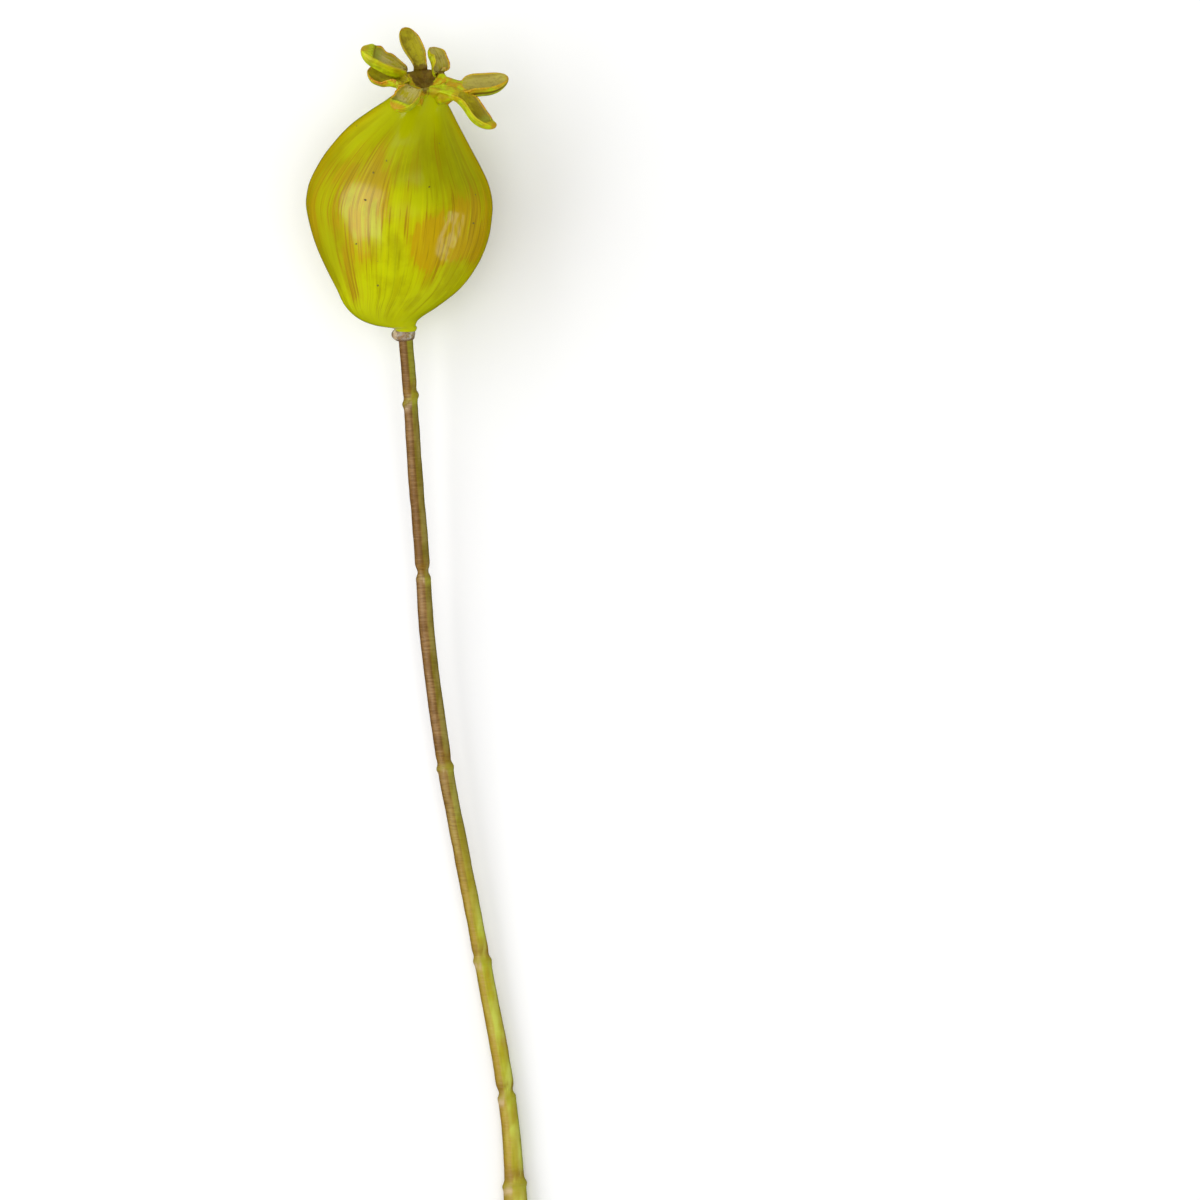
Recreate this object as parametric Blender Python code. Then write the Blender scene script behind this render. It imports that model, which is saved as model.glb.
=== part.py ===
"""Poppy seed head on its own stem, lying down: pod, star crown, clear collar and jointed stem.

Units: the sizes below are in millimetres and become metres when the meshes are made.
Axes: +Y runs from the cut end of the stem to the crown, +X is sideways, +Z is up from the surface.
The origin is under the middle of the whole thing, on the surface that it lies on.
"""
import math

import bmesh
import bpy
from mathutils import Vector

MM = 0.001
GAP = 0.3                      # clearance between neighbouring solids

# Pod: rings along Y, counted from the widest one.
POD_SIDES = 36
POD_RINGS = 26
POD_CENTRE = (-4.3, 97.4)      # X and Y of the middle of the widest ring
POD_PITCH = 0.14               # rise of the pod's axis per length, towards the crown
POD_BEND = 0.0075              # how much faster it rises beyond the widest ring
POD_STATIONS = (               # (distance along, sideways offset, radius)
    (-29.5, 1.4, 2.3),
    (-28.8, 1.2, 2.8),
    (-28.1, -1.0, 4.7),
    (-26.7, -2.3, 6.9),
    (-24.0, -1.8, 10.4),
    (-19.9, -0.3, 14.0),
    (-14.5, 0.4, 17.3),
    (-9.0, 0.5, 19.6),
    (-3.6, 0.2, 20.8),
    (0.0, 0.0, 21.0),
    (4.5, -0.1, 19.9),
    (9.9, 0.1, 16.9),
    (15.4, 1.1, 12.9),
    (18.6, 2.5, 9.9),
    (20.8, 3.6, 7.7),
    (22.6, 4.8, 6.4),
    (24.0, 5.5, 5.5),
    (25.4, 6.0, 5.0),
)

# Crown: one star of lobes round a shallow hub that sits on the pod's neck.
HUB_RADIUS = 5.0
HUB_THICKNESS = 1.1
HUB_DISH = 0.6                 # depth of the hollow in the hub's top
ROOT_HALF_ANGLE = 17.0         # half of the arc that a lobe's root takes, in degrees
LOBE_SECTIONS = 12
LOBE_COLUMNS = 6               # faces across a lobe
LOBE_THINNING = 0.25           # how much thinner a lobe is at its tip, as a share
LOBE_EDGE = 0.45               # thickness at the rim, as a share of the middle
LOBE_TIP = 0.7                 # where the outline starts to round off, as a share of the length
# Each lobe: azimuth of its root (0 is +X, 90 points away from above), the points that its middle
# line passes after the root, counted from the hub's centre, the way its upper face looks, the
# width of its stalk and of its blade, how far the blade's rims stand up, its thickness, and where
# along its length it widens.
LOBES = (
    (-12.0, ((7.8, -1.4, 1.6), (10.6, -1.2, 1.4), (14.8, -0.9, 1.0), (18.9, 0.0, 0.8)),
     (0.05, 0.76, 0.65), 4.3, 5.3, 1.0, 3.0, (0.15, 0.45)),
    (50.0, ((2.7, 2.0, -3.9), (2.8, 3.4, -5.0), (2.4, 5.0, -6.2), (0.8, 7.2, -7.2)),
     (0.72, 0.20, 0.66), 2.5, 5.0, 1.4, 1.2, (0.2, 0.6)),
    (102.0, ((-1.2, 3.4, -4.4), (-2.0, 5.9, -6.0), (-3.6, 9.2, -7.6), (-5.1, 12.1, -8.4)),
     (0.1, 0.64, 0.76), 2.9, 4.7, 0.5, 0.9, (0.25, 0.68)),
    (154.0, ((-5.2, 2.0, -1.4), (-8.2, 3.6, 0.0), (-11.4, 5.1, 1.0), (-14.6, 6.4, 1.4)),
     (0.05, 0.85, 0.52), 3.0, 6.2, 1.2, 2.5, (0.1, 0.6)),
    (206.0, ((-5.6, 0.0, 0.9), (-8.0, 0.4, -1.4), (-10.5, 1.0, -2.3), (-12.9, 2.3, -2.8)),
     (0.2, 0.58, 0.79), 3.0, 4.9, 0.8, 1.7, (0.15, 0.57)),
    (252.0, ((-2.6, -2.8, 5.4), (-3.7, -4.3, 7.0), (-5.0, -5.9, 8.2), (-6.5, -7.5, 10.1)),
     (-0.1, 0.66, 0.74), 3.8, 5.4, 1.2, 2.1, (0.1, 0.5)),
    (312.0, ((7.4, -3.0, 4.0), (9.9, -5.4, 5.6), (12.4, -9.0, 6.8), (15.7, -11.6, 8.6)),
     (0.50, 0.58, 0.64), 3.7, 4.6, 1.2, 1.9, (0.15, 0.57)),
)

# Clear collar: a rounded ring round the top of the stem.
COLLAR_BORE = 1.9
COLLAR_RADIUS = 2.75
COLLAR_LENGTH = 2.5
COLLAR_SIDES = 24

# Stem: its middle line in plan, its height, its joints and its thickness.
STEM_SIDES = 12
STEM_STEP = 4.0                # length between rings on plain stretches
STEM_PLAN = (                  # X and Y from the collar to the cut end
    (-3.0, 67.6),
    (-2.1, 56.5),
    (-0.9, 37.5),
    (0.8, 16.0),
    (1.9, -1.0),
    (5.6, -29.0),
    (9.9, -52.0),
    (14.7, -77.0),
    (19.2, -101.5),
    (21.2, -118.0),
    (22.2, -137.0),
)
STEM_END_HEIGHT = 2.7          # height of the middle line where the stem lies down
STEM_FALL = 1.9                # how early the stem comes down towards the surface
STEM_RADII = (                 # (Y, radius)
    (67.6, 1.58),
    (20.0, 1.66),
    (-60.0, 1.8),
    (-100.0, 2.0),
    (-122.0, 2.15),
    (-127.5, 2.6),
    (-137.0, 2.65),
)
JOINTS = (                     # (Y, how far the joint stands out)
    (52.4, 0.42),
    (12.2, 0.30),
    (-31.0, 0.40),
    (-75.0, 0.42),
    (-106.0, 0.42),
    (-126.0, 0.3),
)
JOINT_HALF_LENGTH = 1.5

FINISHES = {                   # colour, roughness and metallic value of each piece
    "pod": ((0.42, 0.44, 0.01, 1.0), 0.38, 0.0),
    "crown": ((0.30, 0.27, 0.03, 1.0), 0.5, 0.0),
    "collar": ((0.66, 0.55, 0.40, 1.0), 0.15, 0.0),
    "stem": ((0.27, 0.22, 0.05, 1.0), 0.5, 0.0),
}


def clear_scene():
    for thing in list(bpy.data.objects):
        bpy.data.objects.remove(thing, do_unlink=True)


def make_material(name):
    colour, roughness, metallic = FINISHES[name]
    material = bpy.data.materials.new(name)
    material.use_nodes = True
    shader = material.node_tree.nodes["Principled BSDF"]
    shader.inputs["Base Color"].default_value = colour
    shader.inputs["Roughness"].default_value = roughness
    shader.inputs["Metallic"].default_value = metallic
    return material


def make_object(name, mesh_builder, material):
    """One closed body, its faces out, shaded smooth away from sharp edges."""
    mesh = bpy.data.meshes.new(name)
    bmesh.ops.recalc_face_normals(mesh_builder, faces=mesh_builder.faces[:])
    bmesh.ops.triangulate(mesh_builder, faces=mesh_builder.faces[:])
    bmesh.ops.scale(mesh_builder, vec=(MM, MM, MM), verts=mesh_builder.verts[:])
    mesh_builder.to_mesh(mesh)
    mesh_builder.free()
    mesh.materials.append(material)
    mesh.shade_smooth()
    mesh.set_sharp_from_angle(angle=math.radians(40))
    thing = bpy.data.objects.new(name, mesh)
    bpy.context.scene.collection.objects.link(thing)
    return thing


def smooth_value(stations, place):
    """Value of a smooth curve through (place, value, ...) rows; the value may be a tuple."""
    rows = sorted(stations)
    place = min(max(place, rows[0][0]), rows[-1][0])
    index = 0
    while index < len(rows) - 2 and place > rows[index + 1][0]:
        index += 1
    low, high = rows[index], rows[index + 1]
    before = rows[max(index - 1, 0)]
    after = rows[min(index + 2, len(rows) - 1)]
    span = high[0] - low[0]
    part = (place - low[0]) / span
    values = []
    for column in range(1, len(low)):
        slope_low = (high[column] - before[column]) / (high[0] - before[0])
        slope_high = (after[column] - low[column]) / (after[0] - low[0])
        values.append(
            low[column] * (2 * part**3 - 3 * part**2 + 1)
            + high[column] * (3 * part**2 - 2 * part**3)
            + slope_low * span * (part**3 - 2 * part**2 + part)
            + slope_high * span * (part**3 - part**2)
        )
    return values[0] if len(values) == 1 else values


def add_ring(builder, centre, right, up, radius, sides):
    ring = []
    for side in range(sides):
        angle = 2 * math.pi * side / sides
        place = centre + radius * (math.cos(angle) * right + math.sin(angle) * up)
        ring.append(builder.verts.new(place))
    return ring


def join_rings(builder, first, second):
    count = len(first)
    for side in range(count):
        after = (side + 1) % count
        builder.faces.new((first[side], first[after], second[after], second[side]))


def loft(rings_data, sides):
    """Closed tube through (centre, direction, radius) rows; its rings' right side is level."""
    builder = bmesh.new()
    rings = []
    for centre, direction, radius in rings_data:
        right = direction.cross(Vector((0.0, 0.0, 1.0))).normalized()
        up = right.cross(direction).normalized()
        rings.append(add_ring(builder, centre, right, up, radius, sides))
    for first, second in zip(rings, rings[1:]):
        join_rings(builder, first, second)
    for ring, (centre, _, _) in ((rings[0], rings_data[0]), (rings[-1], rings_data[-1])):
        middle = builder.verts.new(centre)
        for side in range(sides):
            builder.faces.new((ring[side], ring[(side + 1) % sides], middle))
    return builder


def pod_rise(along):
    return POD_PITCH * along + POD_BEND * max(along, 0.0) ** 2


def pod_slope(along):
    return POD_PITCH + 2 * POD_BEND * max(along, 0.0)


def pod_point(along, sideways):
    """Point on the pod's axis; the widest ring stands just clear of the surface."""
    widest = max(radius for _, _, radius in POD_STATIONS)
    return Vector((POD_CENTRE[0] + sideways, POD_CENTRE[1] + along, widest + pod_rise(along)))


def pod_direction(along):
    return Vector((0.0, 1.0, pod_slope(along))).normalized()


def build_pod(material):
    low, high = POD_STATIONS[0][0], POD_STATIONS[-1][0]
    rows = []
    for step in range(POD_RINGS):
        # Rings crowd towards both ends, where the outline turns fastest.
        share = 0.5 - 0.5 * math.cos(math.pi * step / (POD_RINGS - 1))
        along = low + (high - low) * share
        sideways, radius = smooth_value(POD_STATIONS, along)
        rows.append((pod_point(along, sideways), pod_direction(along), radius))
    return make_object("pod", loft(rows, POD_SIDES), material)


def crown_frame():
    """Hub centre and the crown's right, back and normal directions."""
    along, sideways, _ = POD_STATIONS[-1]
    normal = pod_direction(along)
    right = Vector((1.0, 0.0, 0.0))
    back = normal.cross(right).normalized()
    centre = pod_point(along, sideways) + normal * (GAP + HUB_THICKNESS)
    return centre, right, back, normal


def lobe_section(centre, across, face, width, rim, thickness):
    """Upper and lower rows of points across a lobe, from one rim to the other."""
    upper, lower = [], []
    for column in range(LOBE_COLUMNS + 1):
        place = 2.0 * column / LOBE_COLUMNS - 1.0
        top = centre + across * (place * width / 2) + face * (rim * place * place)
        depth = thickness * (1 - (1 - LOBE_EDGE) * place * place)
        upper.append(top)
        lower.append(top - face * depth)
    return upper, lower


def root_section(centre, right, back, normal, azimuth):
    """Rows of a lobe's root, on the hub's rim."""
    upper, lower = [], []
    for column in range(LOBE_COLUMNS + 1):
        place = 2.0 * column / LOBE_COLUMNS - 1.0
        angle = math.radians(azimuth - place * ROOT_HALF_ANGLE)
        top = centre + HUB_RADIUS * (math.cos(angle) * right + math.sin(angle) * back)
        upper.append(top)
        lower.append(top - normal * HUB_THICKNESS)
    return upper, lower


def ease(value):
    value = min(max(value, 0.0), 1.0)
    return value * value * (3 - 2 * value)


def lobe_width(share, stalk, blade, spread):
    """The stalk widens into the blade, whose tip is a half ellipse."""
    start, end = spread
    width = stalk + (blade - stalk) * ease((share - start) / (end - start))
    past = max(share - LOBE_TIP, 0.0) / (1 - LOBE_TIP)
    return width * math.sqrt(1 - past * past)


def lobe_rows(lobe, centre, right, back, normal):
    """All sections of one lobe, from its root on the hub to the last one before its tip."""
    azimuth, route, face_at_tip, stalk, blade, rim, hull, spread = lobe
    angle = math.radians(azimuth)
    start = HUB_RADIUS * (math.cos(angle) * right + math.sin(angle) * back)
    rows = [(index / len(route), *point) for index, point in enumerate((start, *route))]
    sections = [root_section(centre, right, back, normal, azimuth)]
    for step in range(1, LOBE_SECTIONS):
        # Sections crowd towards the tip, where the outline turns.
        share = math.sin(0.47 * math.pi * step / (LOBE_SECTIONS - 1))
        point = Vector(smooth_value(rows, share))
        ahead = Vector(smooth_value(rows, share + 0.02))
        behind = Vector(smooth_value(rows, share - 0.02))
        tangent = (ahead - behind).normalized()
        face = normal.lerp(Vector(face_at_tip).normalized(), ease(2 * share))
        across = tangent.cross(face).normalized()
        face = across.cross(tangent).normalized()
        width = lobe_width(share, stalk, blade, spread)
        lift = rim * ease(1.6 * share) * (width / blade) ** 2
        closing = (width / blade) ** 0.5 if share > LOBE_TIP else 1.0
        thickness = HUB_THICKNESS + (hull - HUB_THICKNESS) * ease(3 * share)
        taper = thickness * (1 - LOBE_THINNING * share) * closing
        sections.append(lobe_section(centre + point, across, face, width, lift, taper))
    return sections, centre + Vector(route[-1])


def build_lobe(builder, sections, tip):
    """Skin of one lobe; returns the vertices of its root's upper and lower rows."""
    rows = []
    for upper, lower in sections:
        rows.append(([builder.verts.new(p) for p in upper], [builder.verts.new(p) for p in lower]))
    for (up_a, low_a), (up_b, low_b) in zip(rows, rows[1:]):
        join_rings(builder, up_a + low_a[::-1], up_b + low_b[::-1])
    loop = rows[-1][0] + rows[-1][1][::-1]
    point = builder.verts.new(tip)
    for index, vertex in enumerate(loop):
        builder.faces.new((vertex, loop[(index + 1) % len(loop)], point))
    return rows[0]


def build_crown(material):
    """Hub and lobes in one skin: each lobe grows out of its own opening in the hub's rim."""
    centre, right, back, normal = crown_frame()
    builder = bmesh.new()
    upper_rim, lower_rim = [], []
    for lobe in LOBES:
        sections, tip = lobe_rows(lobe, centre, right, back, normal)
        upper, lower = build_lobe(builder, sections, tip)
        # Azimuth grows round the rim, and a lobe's rows run the other way.
        upper_rim.append(upper[::-1])
        lower_rim.append(lower[::-1])
    count = len(LOBES)
    for index in range(count):
        after = (index + 1) % count
        builder.faces.new(
            (upper_rim[index][-1], upper_rim[after][0], lower_rim[after][0], lower_rim[index][-1])
        )
    for rim, offset in ((upper_rim, -HUB_DISH), (lower_rim, -HUB_THICKNESS)):
        middle = builder.verts.new(centre + normal * offset)
        outline = [vertex for row in rim for vertex in row]
        for index, vertex in enumerate(outline):
            builder.faces.new((vertex, outline[(index + 1) % len(outline)], middle))
    return make_object("crown", builder, material)


def stem_height(y):
    """Height of the stem's middle line: it leaves the pod's base and comes down to lie flat."""
    top, end = STEM_PLAN[0][1], STEM_PLAN[-1][1]
    share = (y - end) / (top - end)
    along = POD_STATIONS[0][0]
    drop = pod_point(along, 0.0).z - (COLLAR_LENGTH * POD_PITCH) - STEM_END_HEIGHT
    return STEM_END_HEIGHT + drop * max(share, 0.0) ** STEM_FALL


def stem_point(y):
    rows = [(place_y, x) for x, place_y in STEM_PLAN]
    return Vector((smooth_value(rows, y), y, stem_height(y)))


def stem_direction(y):
    step = 0.5
    low, high = STEM_PLAN[-1][1], STEM_PLAN[0][1]
    above = stem_point(min(y + step, high))
    below = stem_point(max(y - step, low))
    return (above - below).normalized()


def stem_radius(y):
    radius = smooth_value(STEM_RADII, y)
    for joint, height in JOINTS:
        offset = abs(y - joint) / JOINT_HALF_LENGTH
        if offset < 1.0:
            radius += height * (0.5 + 0.5 * math.cos(math.pi * offset))
    return radius


def stem_places():
    """Y of each ring: even steps, with extra rings across each joint."""
    low, high = STEM_PLAN[-1][1], STEM_PLAN[0][1]
    count = round((high - low) / STEM_STEP)
    even = [high - (high - low) * step / count for step in range(count + 1)]
    places = [y for y in even if all(abs(y - joint) > 2 * JOINT_HALF_LENGTH for joint, _ in JOINTS)]
    for joint, _ in JOINTS:
        places += [joint + JOINT_HALF_LENGTH * share for share in (-1.0, -0.5, 0.0, 0.5, 1.0)]
    return sorted(places)


def build_stem(material):
    rows = [(stem_point(y), stem_direction(y), stem_radius(y)) for y in stem_places()]
    return make_object("stem", loft(rows, STEM_SIDES), material)


def build_collar(material):
    """A turned ring: a straight bore and a rounded outer side."""
    top = stem_point(STEM_PLAN[0][1])
    direction = stem_direction(STEM_PLAN[0][1])
    right = direction.cross(Vector((0.0, 0.0, 1.0))).normalized()
    up = right.cross(direction).normalized()
    builder = bmesh.new()
    profile = ((0.0, COLLAR_BORE), (0.0, 2.35), (0.25, 0.97 * COLLAR_RADIUS),
               (0.55, COLLAR_RADIUS), (0.85, 0.9 * COLLAR_RADIUS), (1.0, 2.1), (1.0, COLLAR_BORE))
    rings = []
    for share, radius in profile:
        centre = top - direction * (share * COLLAR_LENGTH)
        rings.append(add_ring(builder, centre, right, up, radius, COLLAR_SIDES))
    for first, second in zip(rings, rings[1:] + rings[:1]):
        join_rings(builder, first, second)
    return make_object("collar", builder, material)


def lie_on_surface(pieces):
    """Move the whole thing so that the origin is under its middle, on the surface."""
    corners = [vertex.co for piece in pieces for vertex in piece.data.vertices]
    low = Vector([min(corner[axis] for corner in corners) for axis in range(3)])
    high = Vector([max(corner[axis] for corner in corners) for axis in range(3)])
    shift = Vector((-(low.x + high.x) / 2, -(low.y + high.y) / 2, -low.z))
    for piece in pieces:
        for vertex in piece.data.vertices:
            vertex.co += shift


def main():
    clear_scene()
    pieces = [
        build_pod(make_material("pod")),
        build_crown(make_material("crown")),
        build_collar(make_material("collar")),
        build_stem(make_material("stem")),
    ]
    lie_on_surface(pieces)


main()
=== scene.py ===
"""Looks of a poppy seed head lying on its stem: pod, star crown, clear collar and jointed stem.

Lengths are in millimetres until a mesh is made. +Y runs from the stem's cut end to the crown and +Z
is up from the surface, as in the fixed frame that every piece is placed in.
"""
from __future__ import annotations

import logging
import math
from dataclasses import dataclass, field
from enum import Enum
from typing import Any

import bmesh
import bpy
import numpy as np
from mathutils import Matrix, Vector


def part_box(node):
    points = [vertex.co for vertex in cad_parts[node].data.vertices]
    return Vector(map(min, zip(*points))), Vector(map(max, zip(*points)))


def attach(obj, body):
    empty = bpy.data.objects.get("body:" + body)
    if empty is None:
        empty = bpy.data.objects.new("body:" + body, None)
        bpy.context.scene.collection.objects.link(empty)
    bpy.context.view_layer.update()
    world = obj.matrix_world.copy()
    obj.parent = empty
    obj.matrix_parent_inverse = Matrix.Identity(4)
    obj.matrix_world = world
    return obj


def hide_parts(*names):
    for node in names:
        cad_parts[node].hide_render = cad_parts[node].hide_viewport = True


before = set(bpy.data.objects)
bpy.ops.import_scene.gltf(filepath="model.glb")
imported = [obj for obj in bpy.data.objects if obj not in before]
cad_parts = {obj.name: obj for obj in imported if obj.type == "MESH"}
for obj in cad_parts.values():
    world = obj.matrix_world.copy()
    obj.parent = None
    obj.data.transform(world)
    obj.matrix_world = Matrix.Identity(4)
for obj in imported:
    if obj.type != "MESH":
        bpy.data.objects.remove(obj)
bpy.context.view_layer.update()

MM = 0.001
LOW_FADE, HIGH_FADE = 6.0, 11.0      # how softly a brush stroke starts and ends
Point = tuple[float, float, float]
Tint = tuple[float, float, float]      # display red, green and blue, 0 to 255
Array = np.ndarray
log = logging.getLogger("poppy_seed_head")


# ---------------------------------------------------------------- numbers and curves


def srgb(red: float, green: float, blue: float) -> tuple[float, float, float, float]:
    """A display colour of 0 to 255 values as a linear colour.

    Args:
        red, green, blue: the display values.

    Returns:
        The linear red, green and blue, and an alpha of 1.
    """
    parts = []
    for value in (red, green, blue):
        share = value / 255
        parts.append(share / 12.92 if share <= 0.04045 else ((share + 0.055) / 1.055) ** 2.4)
    return parts[0], parts[1], parts[2], 1.0


def ease(value: Array | float) -> Array:
    """Smooth step from 0 to 1 while the value goes from 0 to 1."""
    value = np.clip(value, 0.0, 1.0)
    return value * value * (3 - 2 * value)


def smooth(rows: Any, places: Array | float) -> Array:
    """Smooth curve through rows, read at places.

    Args:
        rows: (place, value, ...) rows in rising order of place.
        places: where to read the curve.

    Returns:
        One row of values for each place.
    """
    table = np.asarray(rows, float)
    knots, values = table[:, 0], table[:, 1:]
    places = np.clip(np.atleast_1d(np.asarray(places, float)), knots[0], knots[-1])
    low = np.clip(np.searchsorted(knots, places, side="left") - 1, 0, len(knots) - 2)
    high = low + 1
    before, after = np.maximum(low - 1, 0), np.minimum(high + 1, len(knots) - 1)
    span = (knots[high] - knots[low])[:, None]
    part = ((places - knots[low]) / span[:, 0])[:, None]
    slope_low = (values[high] - values[before]) / (knots[high] - knots[before])[:, None]
    slope_high = (values[after] - values[low]) / (knots[after] - knots[low])[:, None]
    return (
        values[low] * (2 * part**3 - 3 * part**2 + 1)
        + values[high] * (3 * part**2 - 2 * part**3)
        + slope_low * span * (part**3 - 2 * part**2 + part)
        + slope_high * span * (part**3 - part**2)
    )


def unit(vectors: Array) -> Array:
    """The same directions with length 1."""
    vectors = np.asarray(vectors, float)
    return vectors / np.linalg.norm(vectors, axis=-1, keepdims=True)


def ripples(points: Array, wavelength: float, seed: int, waves: int = 14) -> Array:
    """Soft irregular waves in space, about -1 to 1.

    Args:
        points: positions, one row each.
        wavelength: typical distance between crests, in the units of the points.
        seed: picks the pattern.
        waves: how many plane waves are added up.

    Returns:
        One height for each point.
    """
    random = np.random.default_rng(seed)
    directions = unit(random.normal(size=(waves, points.shape[1])))
    lengths = wavelength * random.uniform(0.7, 1.5, waves)
    phases = random.uniform(0, 2 * math.pi, waves)
    total = np.sin(points @ (directions * (2 * math.pi / lengths)[:, None]).T + phases)
    return total.sum(axis=1) / math.sqrt(waves / 2) / 1.6


@dataclass(frozen=True)
class Waves:
    """Soft irregular waves in a surface."""

    height: float
    wavelength: float
    seed: int

    def at(self, points: Array) -> Array:
        """Height of the waves at points, above and below 0."""
        return self.height * ripples(points, self.wavelength, self.seed)


@dataclass(frozen=True)
class Stretch:
    """A stretch along a piece, with soft ends."""

    low: float        # where it starts
    rise: float       # how long it takes to reach 1
    high: float       # where it is back at 0
    fall: float       # how long it takes to get there

    def cover(self, along: Array) -> Array:
        """1 inside the stretch and 0 outside it."""
        return ease((along - self.low) / self.rise) * ease((self.high - along) / self.fall)


# ---------------------------------------------------------------- node building


class Wire:
    """A number on its way between nodes; arithmetic on it adds Math nodes."""

    def __init__(self, graph: Graph, socket: bpy.types.NodeSocket) -> None:
        """Wrap an output socket of the graph's tree."""
        self.graph = graph
        self.socket = socket

    def __add__(self, other: Wire | float) -> Wire:
        """self + other."""
        return self.graph.math("ADD", self, other)

    def __sub__(self, other: Wire | float) -> Wire:
        """self - other."""
        return self.graph.math("SUBTRACT", self, other)

    def __rsub__(self, other: float) -> Wire:
        """other - self."""
        return self.graph.math("SUBTRACT", other, self)

    def __mul__(self, other: Wire | float) -> Wire:
        """self * other."""
        return self.graph.math("MULTIPLY", self, other)

    def __truediv__(self, other: Wire | float) -> Wire:
        """self / other."""
        return self.graph.math("DIVIDE", self, other)

    __radd__ = __add__
    __rmul__ = __mul__


class Graph:
    """A node tree, with one method for any node and short ones for the usual kinds."""

    def __init__(self, tree: bpy.types.NodeTree) -> None:
        """Start from a tree; its nodes are removed."""
        self.tree = tree
        tree.nodes.clear()

    def node(self, kind: str, settings: dict[str, Any], inputs: dict[Any, Any]) -> Any:
        """Add a node.

        Args:
            kind: the node's type.
            settings: properties, set before any socket is used.
            inputs: socket name or number to a value, a socket or a Wire.

        Returns:
            The node.
        """
        made = self.tree.nodes.new(kind)
        for name, value in settings.items():
            setattr(made, name, value)
        for key, value in inputs.items():
            if isinstance(value, Wire):
                value = value.socket
            if isinstance(value, bpy.types.NodeSocket):
                self.tree.links.new(value, made.inputs[key])
            else:
                made.inputs[key].default_value = value
        return made

    def wire(self, kind: str, settings: dict[str, Any], inputs: dict[Any, Any],
             output: Any = 0) -> Wire:
        """Add a node as the method node does, and take one of its outputs."""
        return Wire(self, self.node(kind, settings, inputs).outputs[output])

    def math(self, operation: str, *values: Wire | float) -> Wire:
        """Math node on one, two or three numbers."""
        return self.wire("ShaderNodeMath", {"operation": operation}, dict(enumerate(values)))

    def vector_math(self, operation: str, *values: Any) -> Wire:
        """Vector Math node.

        Args:
            operation: the node's operation.
            values: its inputs; the second one of SCALE is the number that scales.

        Returns:
            The node's first output.
        """
        inputs: dict[Any, Any] = {}
        for index, value in enumerate(values):
            inputs["Scale" if operation == "SCALE" and index == 1 else index] = value
        return self.wire("ShaderNodeVectorMath", {"operation": operation}, inputs)

    def step(self, value: Wire, low: float, high: float) -> Wire:
        """0 below low, 1 above high and smooth between; low may be above high."""
        return self.wire("ShaderNodeMapRange", {"interpolation_type": "SMOOTHSTEP"},
                         {"Value": value, "From Min": low, "From Max": high})

    def noise(self, vector: Wire, scale: float, detail: float = 2.0,
              roughness: float = 0.5) -> Wire:
        """Noise of about 0 to 1 with its middle at 0.5."""
        return self.wire("ShaderNodeTexNoise", {}, {
            "Vector": vector, "Scale": scale, "Detail": detail, "Roughness": roughness})

    def mix(self, factor: Wire | float, first: Any, second: Any) -> Wire:
        """Colour between the first and the second."""
        return self.wire("ShaderNodeMix", {"data_type": "RGBA"},
                         {0: factor, 6: first, 7: second}, 2)

    def two_tone(self, factor: Wire | float, first: Tint, second: Tint) -> Wire:
        """Colour between two display colours."""
        return self.mix(factor, srgb(*first), srgb(*second))

    def coats(self, colour: Wire, *coats: tuple[Wire | float, Tint]) -> Wire:
        """Lay coats of paint over a colour, one after the other.

        Args:
            colour: what the first coat goes on.
            coats: how much each coat covers, from 0 to 1, and its display colour.

        Returns:
            The painted colour.
        """
        for cover, tint in coats:
            colour = self.mix(cover, colour, srgb(*tint))
        return colour

    def spot(self) -> Wire:
        """The place on the piece, in metres."""
        return self.wire("ShaderNodeTexCoord", {}, {}, "Object")

    def attribute(self, name: str, output: str = "Fac") -> Wire:
        """A mesh attribute as a number, or as a vector with output Vector."""
        return self.wire("ShaderNodeAttribute", {"attribute_name": name}, {}, output)

    def stretched(self, vector: Wire, factors: Point, shift: Point = (0, 0, 0)) -> Wire:
        """The vector times factors for its three parts, and then moved by shift."""
        return self.wire("ShaderNodeVectorMath", {"operation": "MULTIPLY_ADD"},
                         {0: vector, 1: factors, 2: shift})


@dataclass(frozen=True)
class Finish:
    """Values that are the same all over a surface; the methods of subclasses paint the rest."""

    name: str
    slot: str
    roughness: float
    specular: float = 0.5
    transmission: float = 0.0
    ior: float = 1.46

    def paint(self, graph: Graph) -> tuple[Wire, Wire | float, Wire | None]:
        """Colour, roughness and height of the surface; each finish has its own."""
        raise NotImplementedError

    def material(self) -> bpy.types.Material:
        """Build the material.

        Returns:
            A material whose shader has this finish's values and painted inputs.
        """
        material = bpy.data.materials.new(self.name)
        material.use_nodes = True
        graph = Graph(material.node_tree)
        colour, roughness, height = self.paint(graph)
        inputs: dict[str, Any] = {
            "Base Color": colour,
            "Roughness": roughness,
            "Specular IOR Level": self.specular,
            "Transmission Weight": self.transmission,
            "IOR": self.ior,
        }
        if height is not None:
            inputs["Normal"] = graph.wire("ShaderNodeBump", {}, {
                "Strength": 1.0, "Distance": 1.0, "Height": height})
        shader = graph.node("ShaderNodeBsdfPrincipled", {}, inputs)
        graph.node("ShaderNodeOutputMaterial", {}, {"Surface": shader.outputs[0]})
        return material


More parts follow.
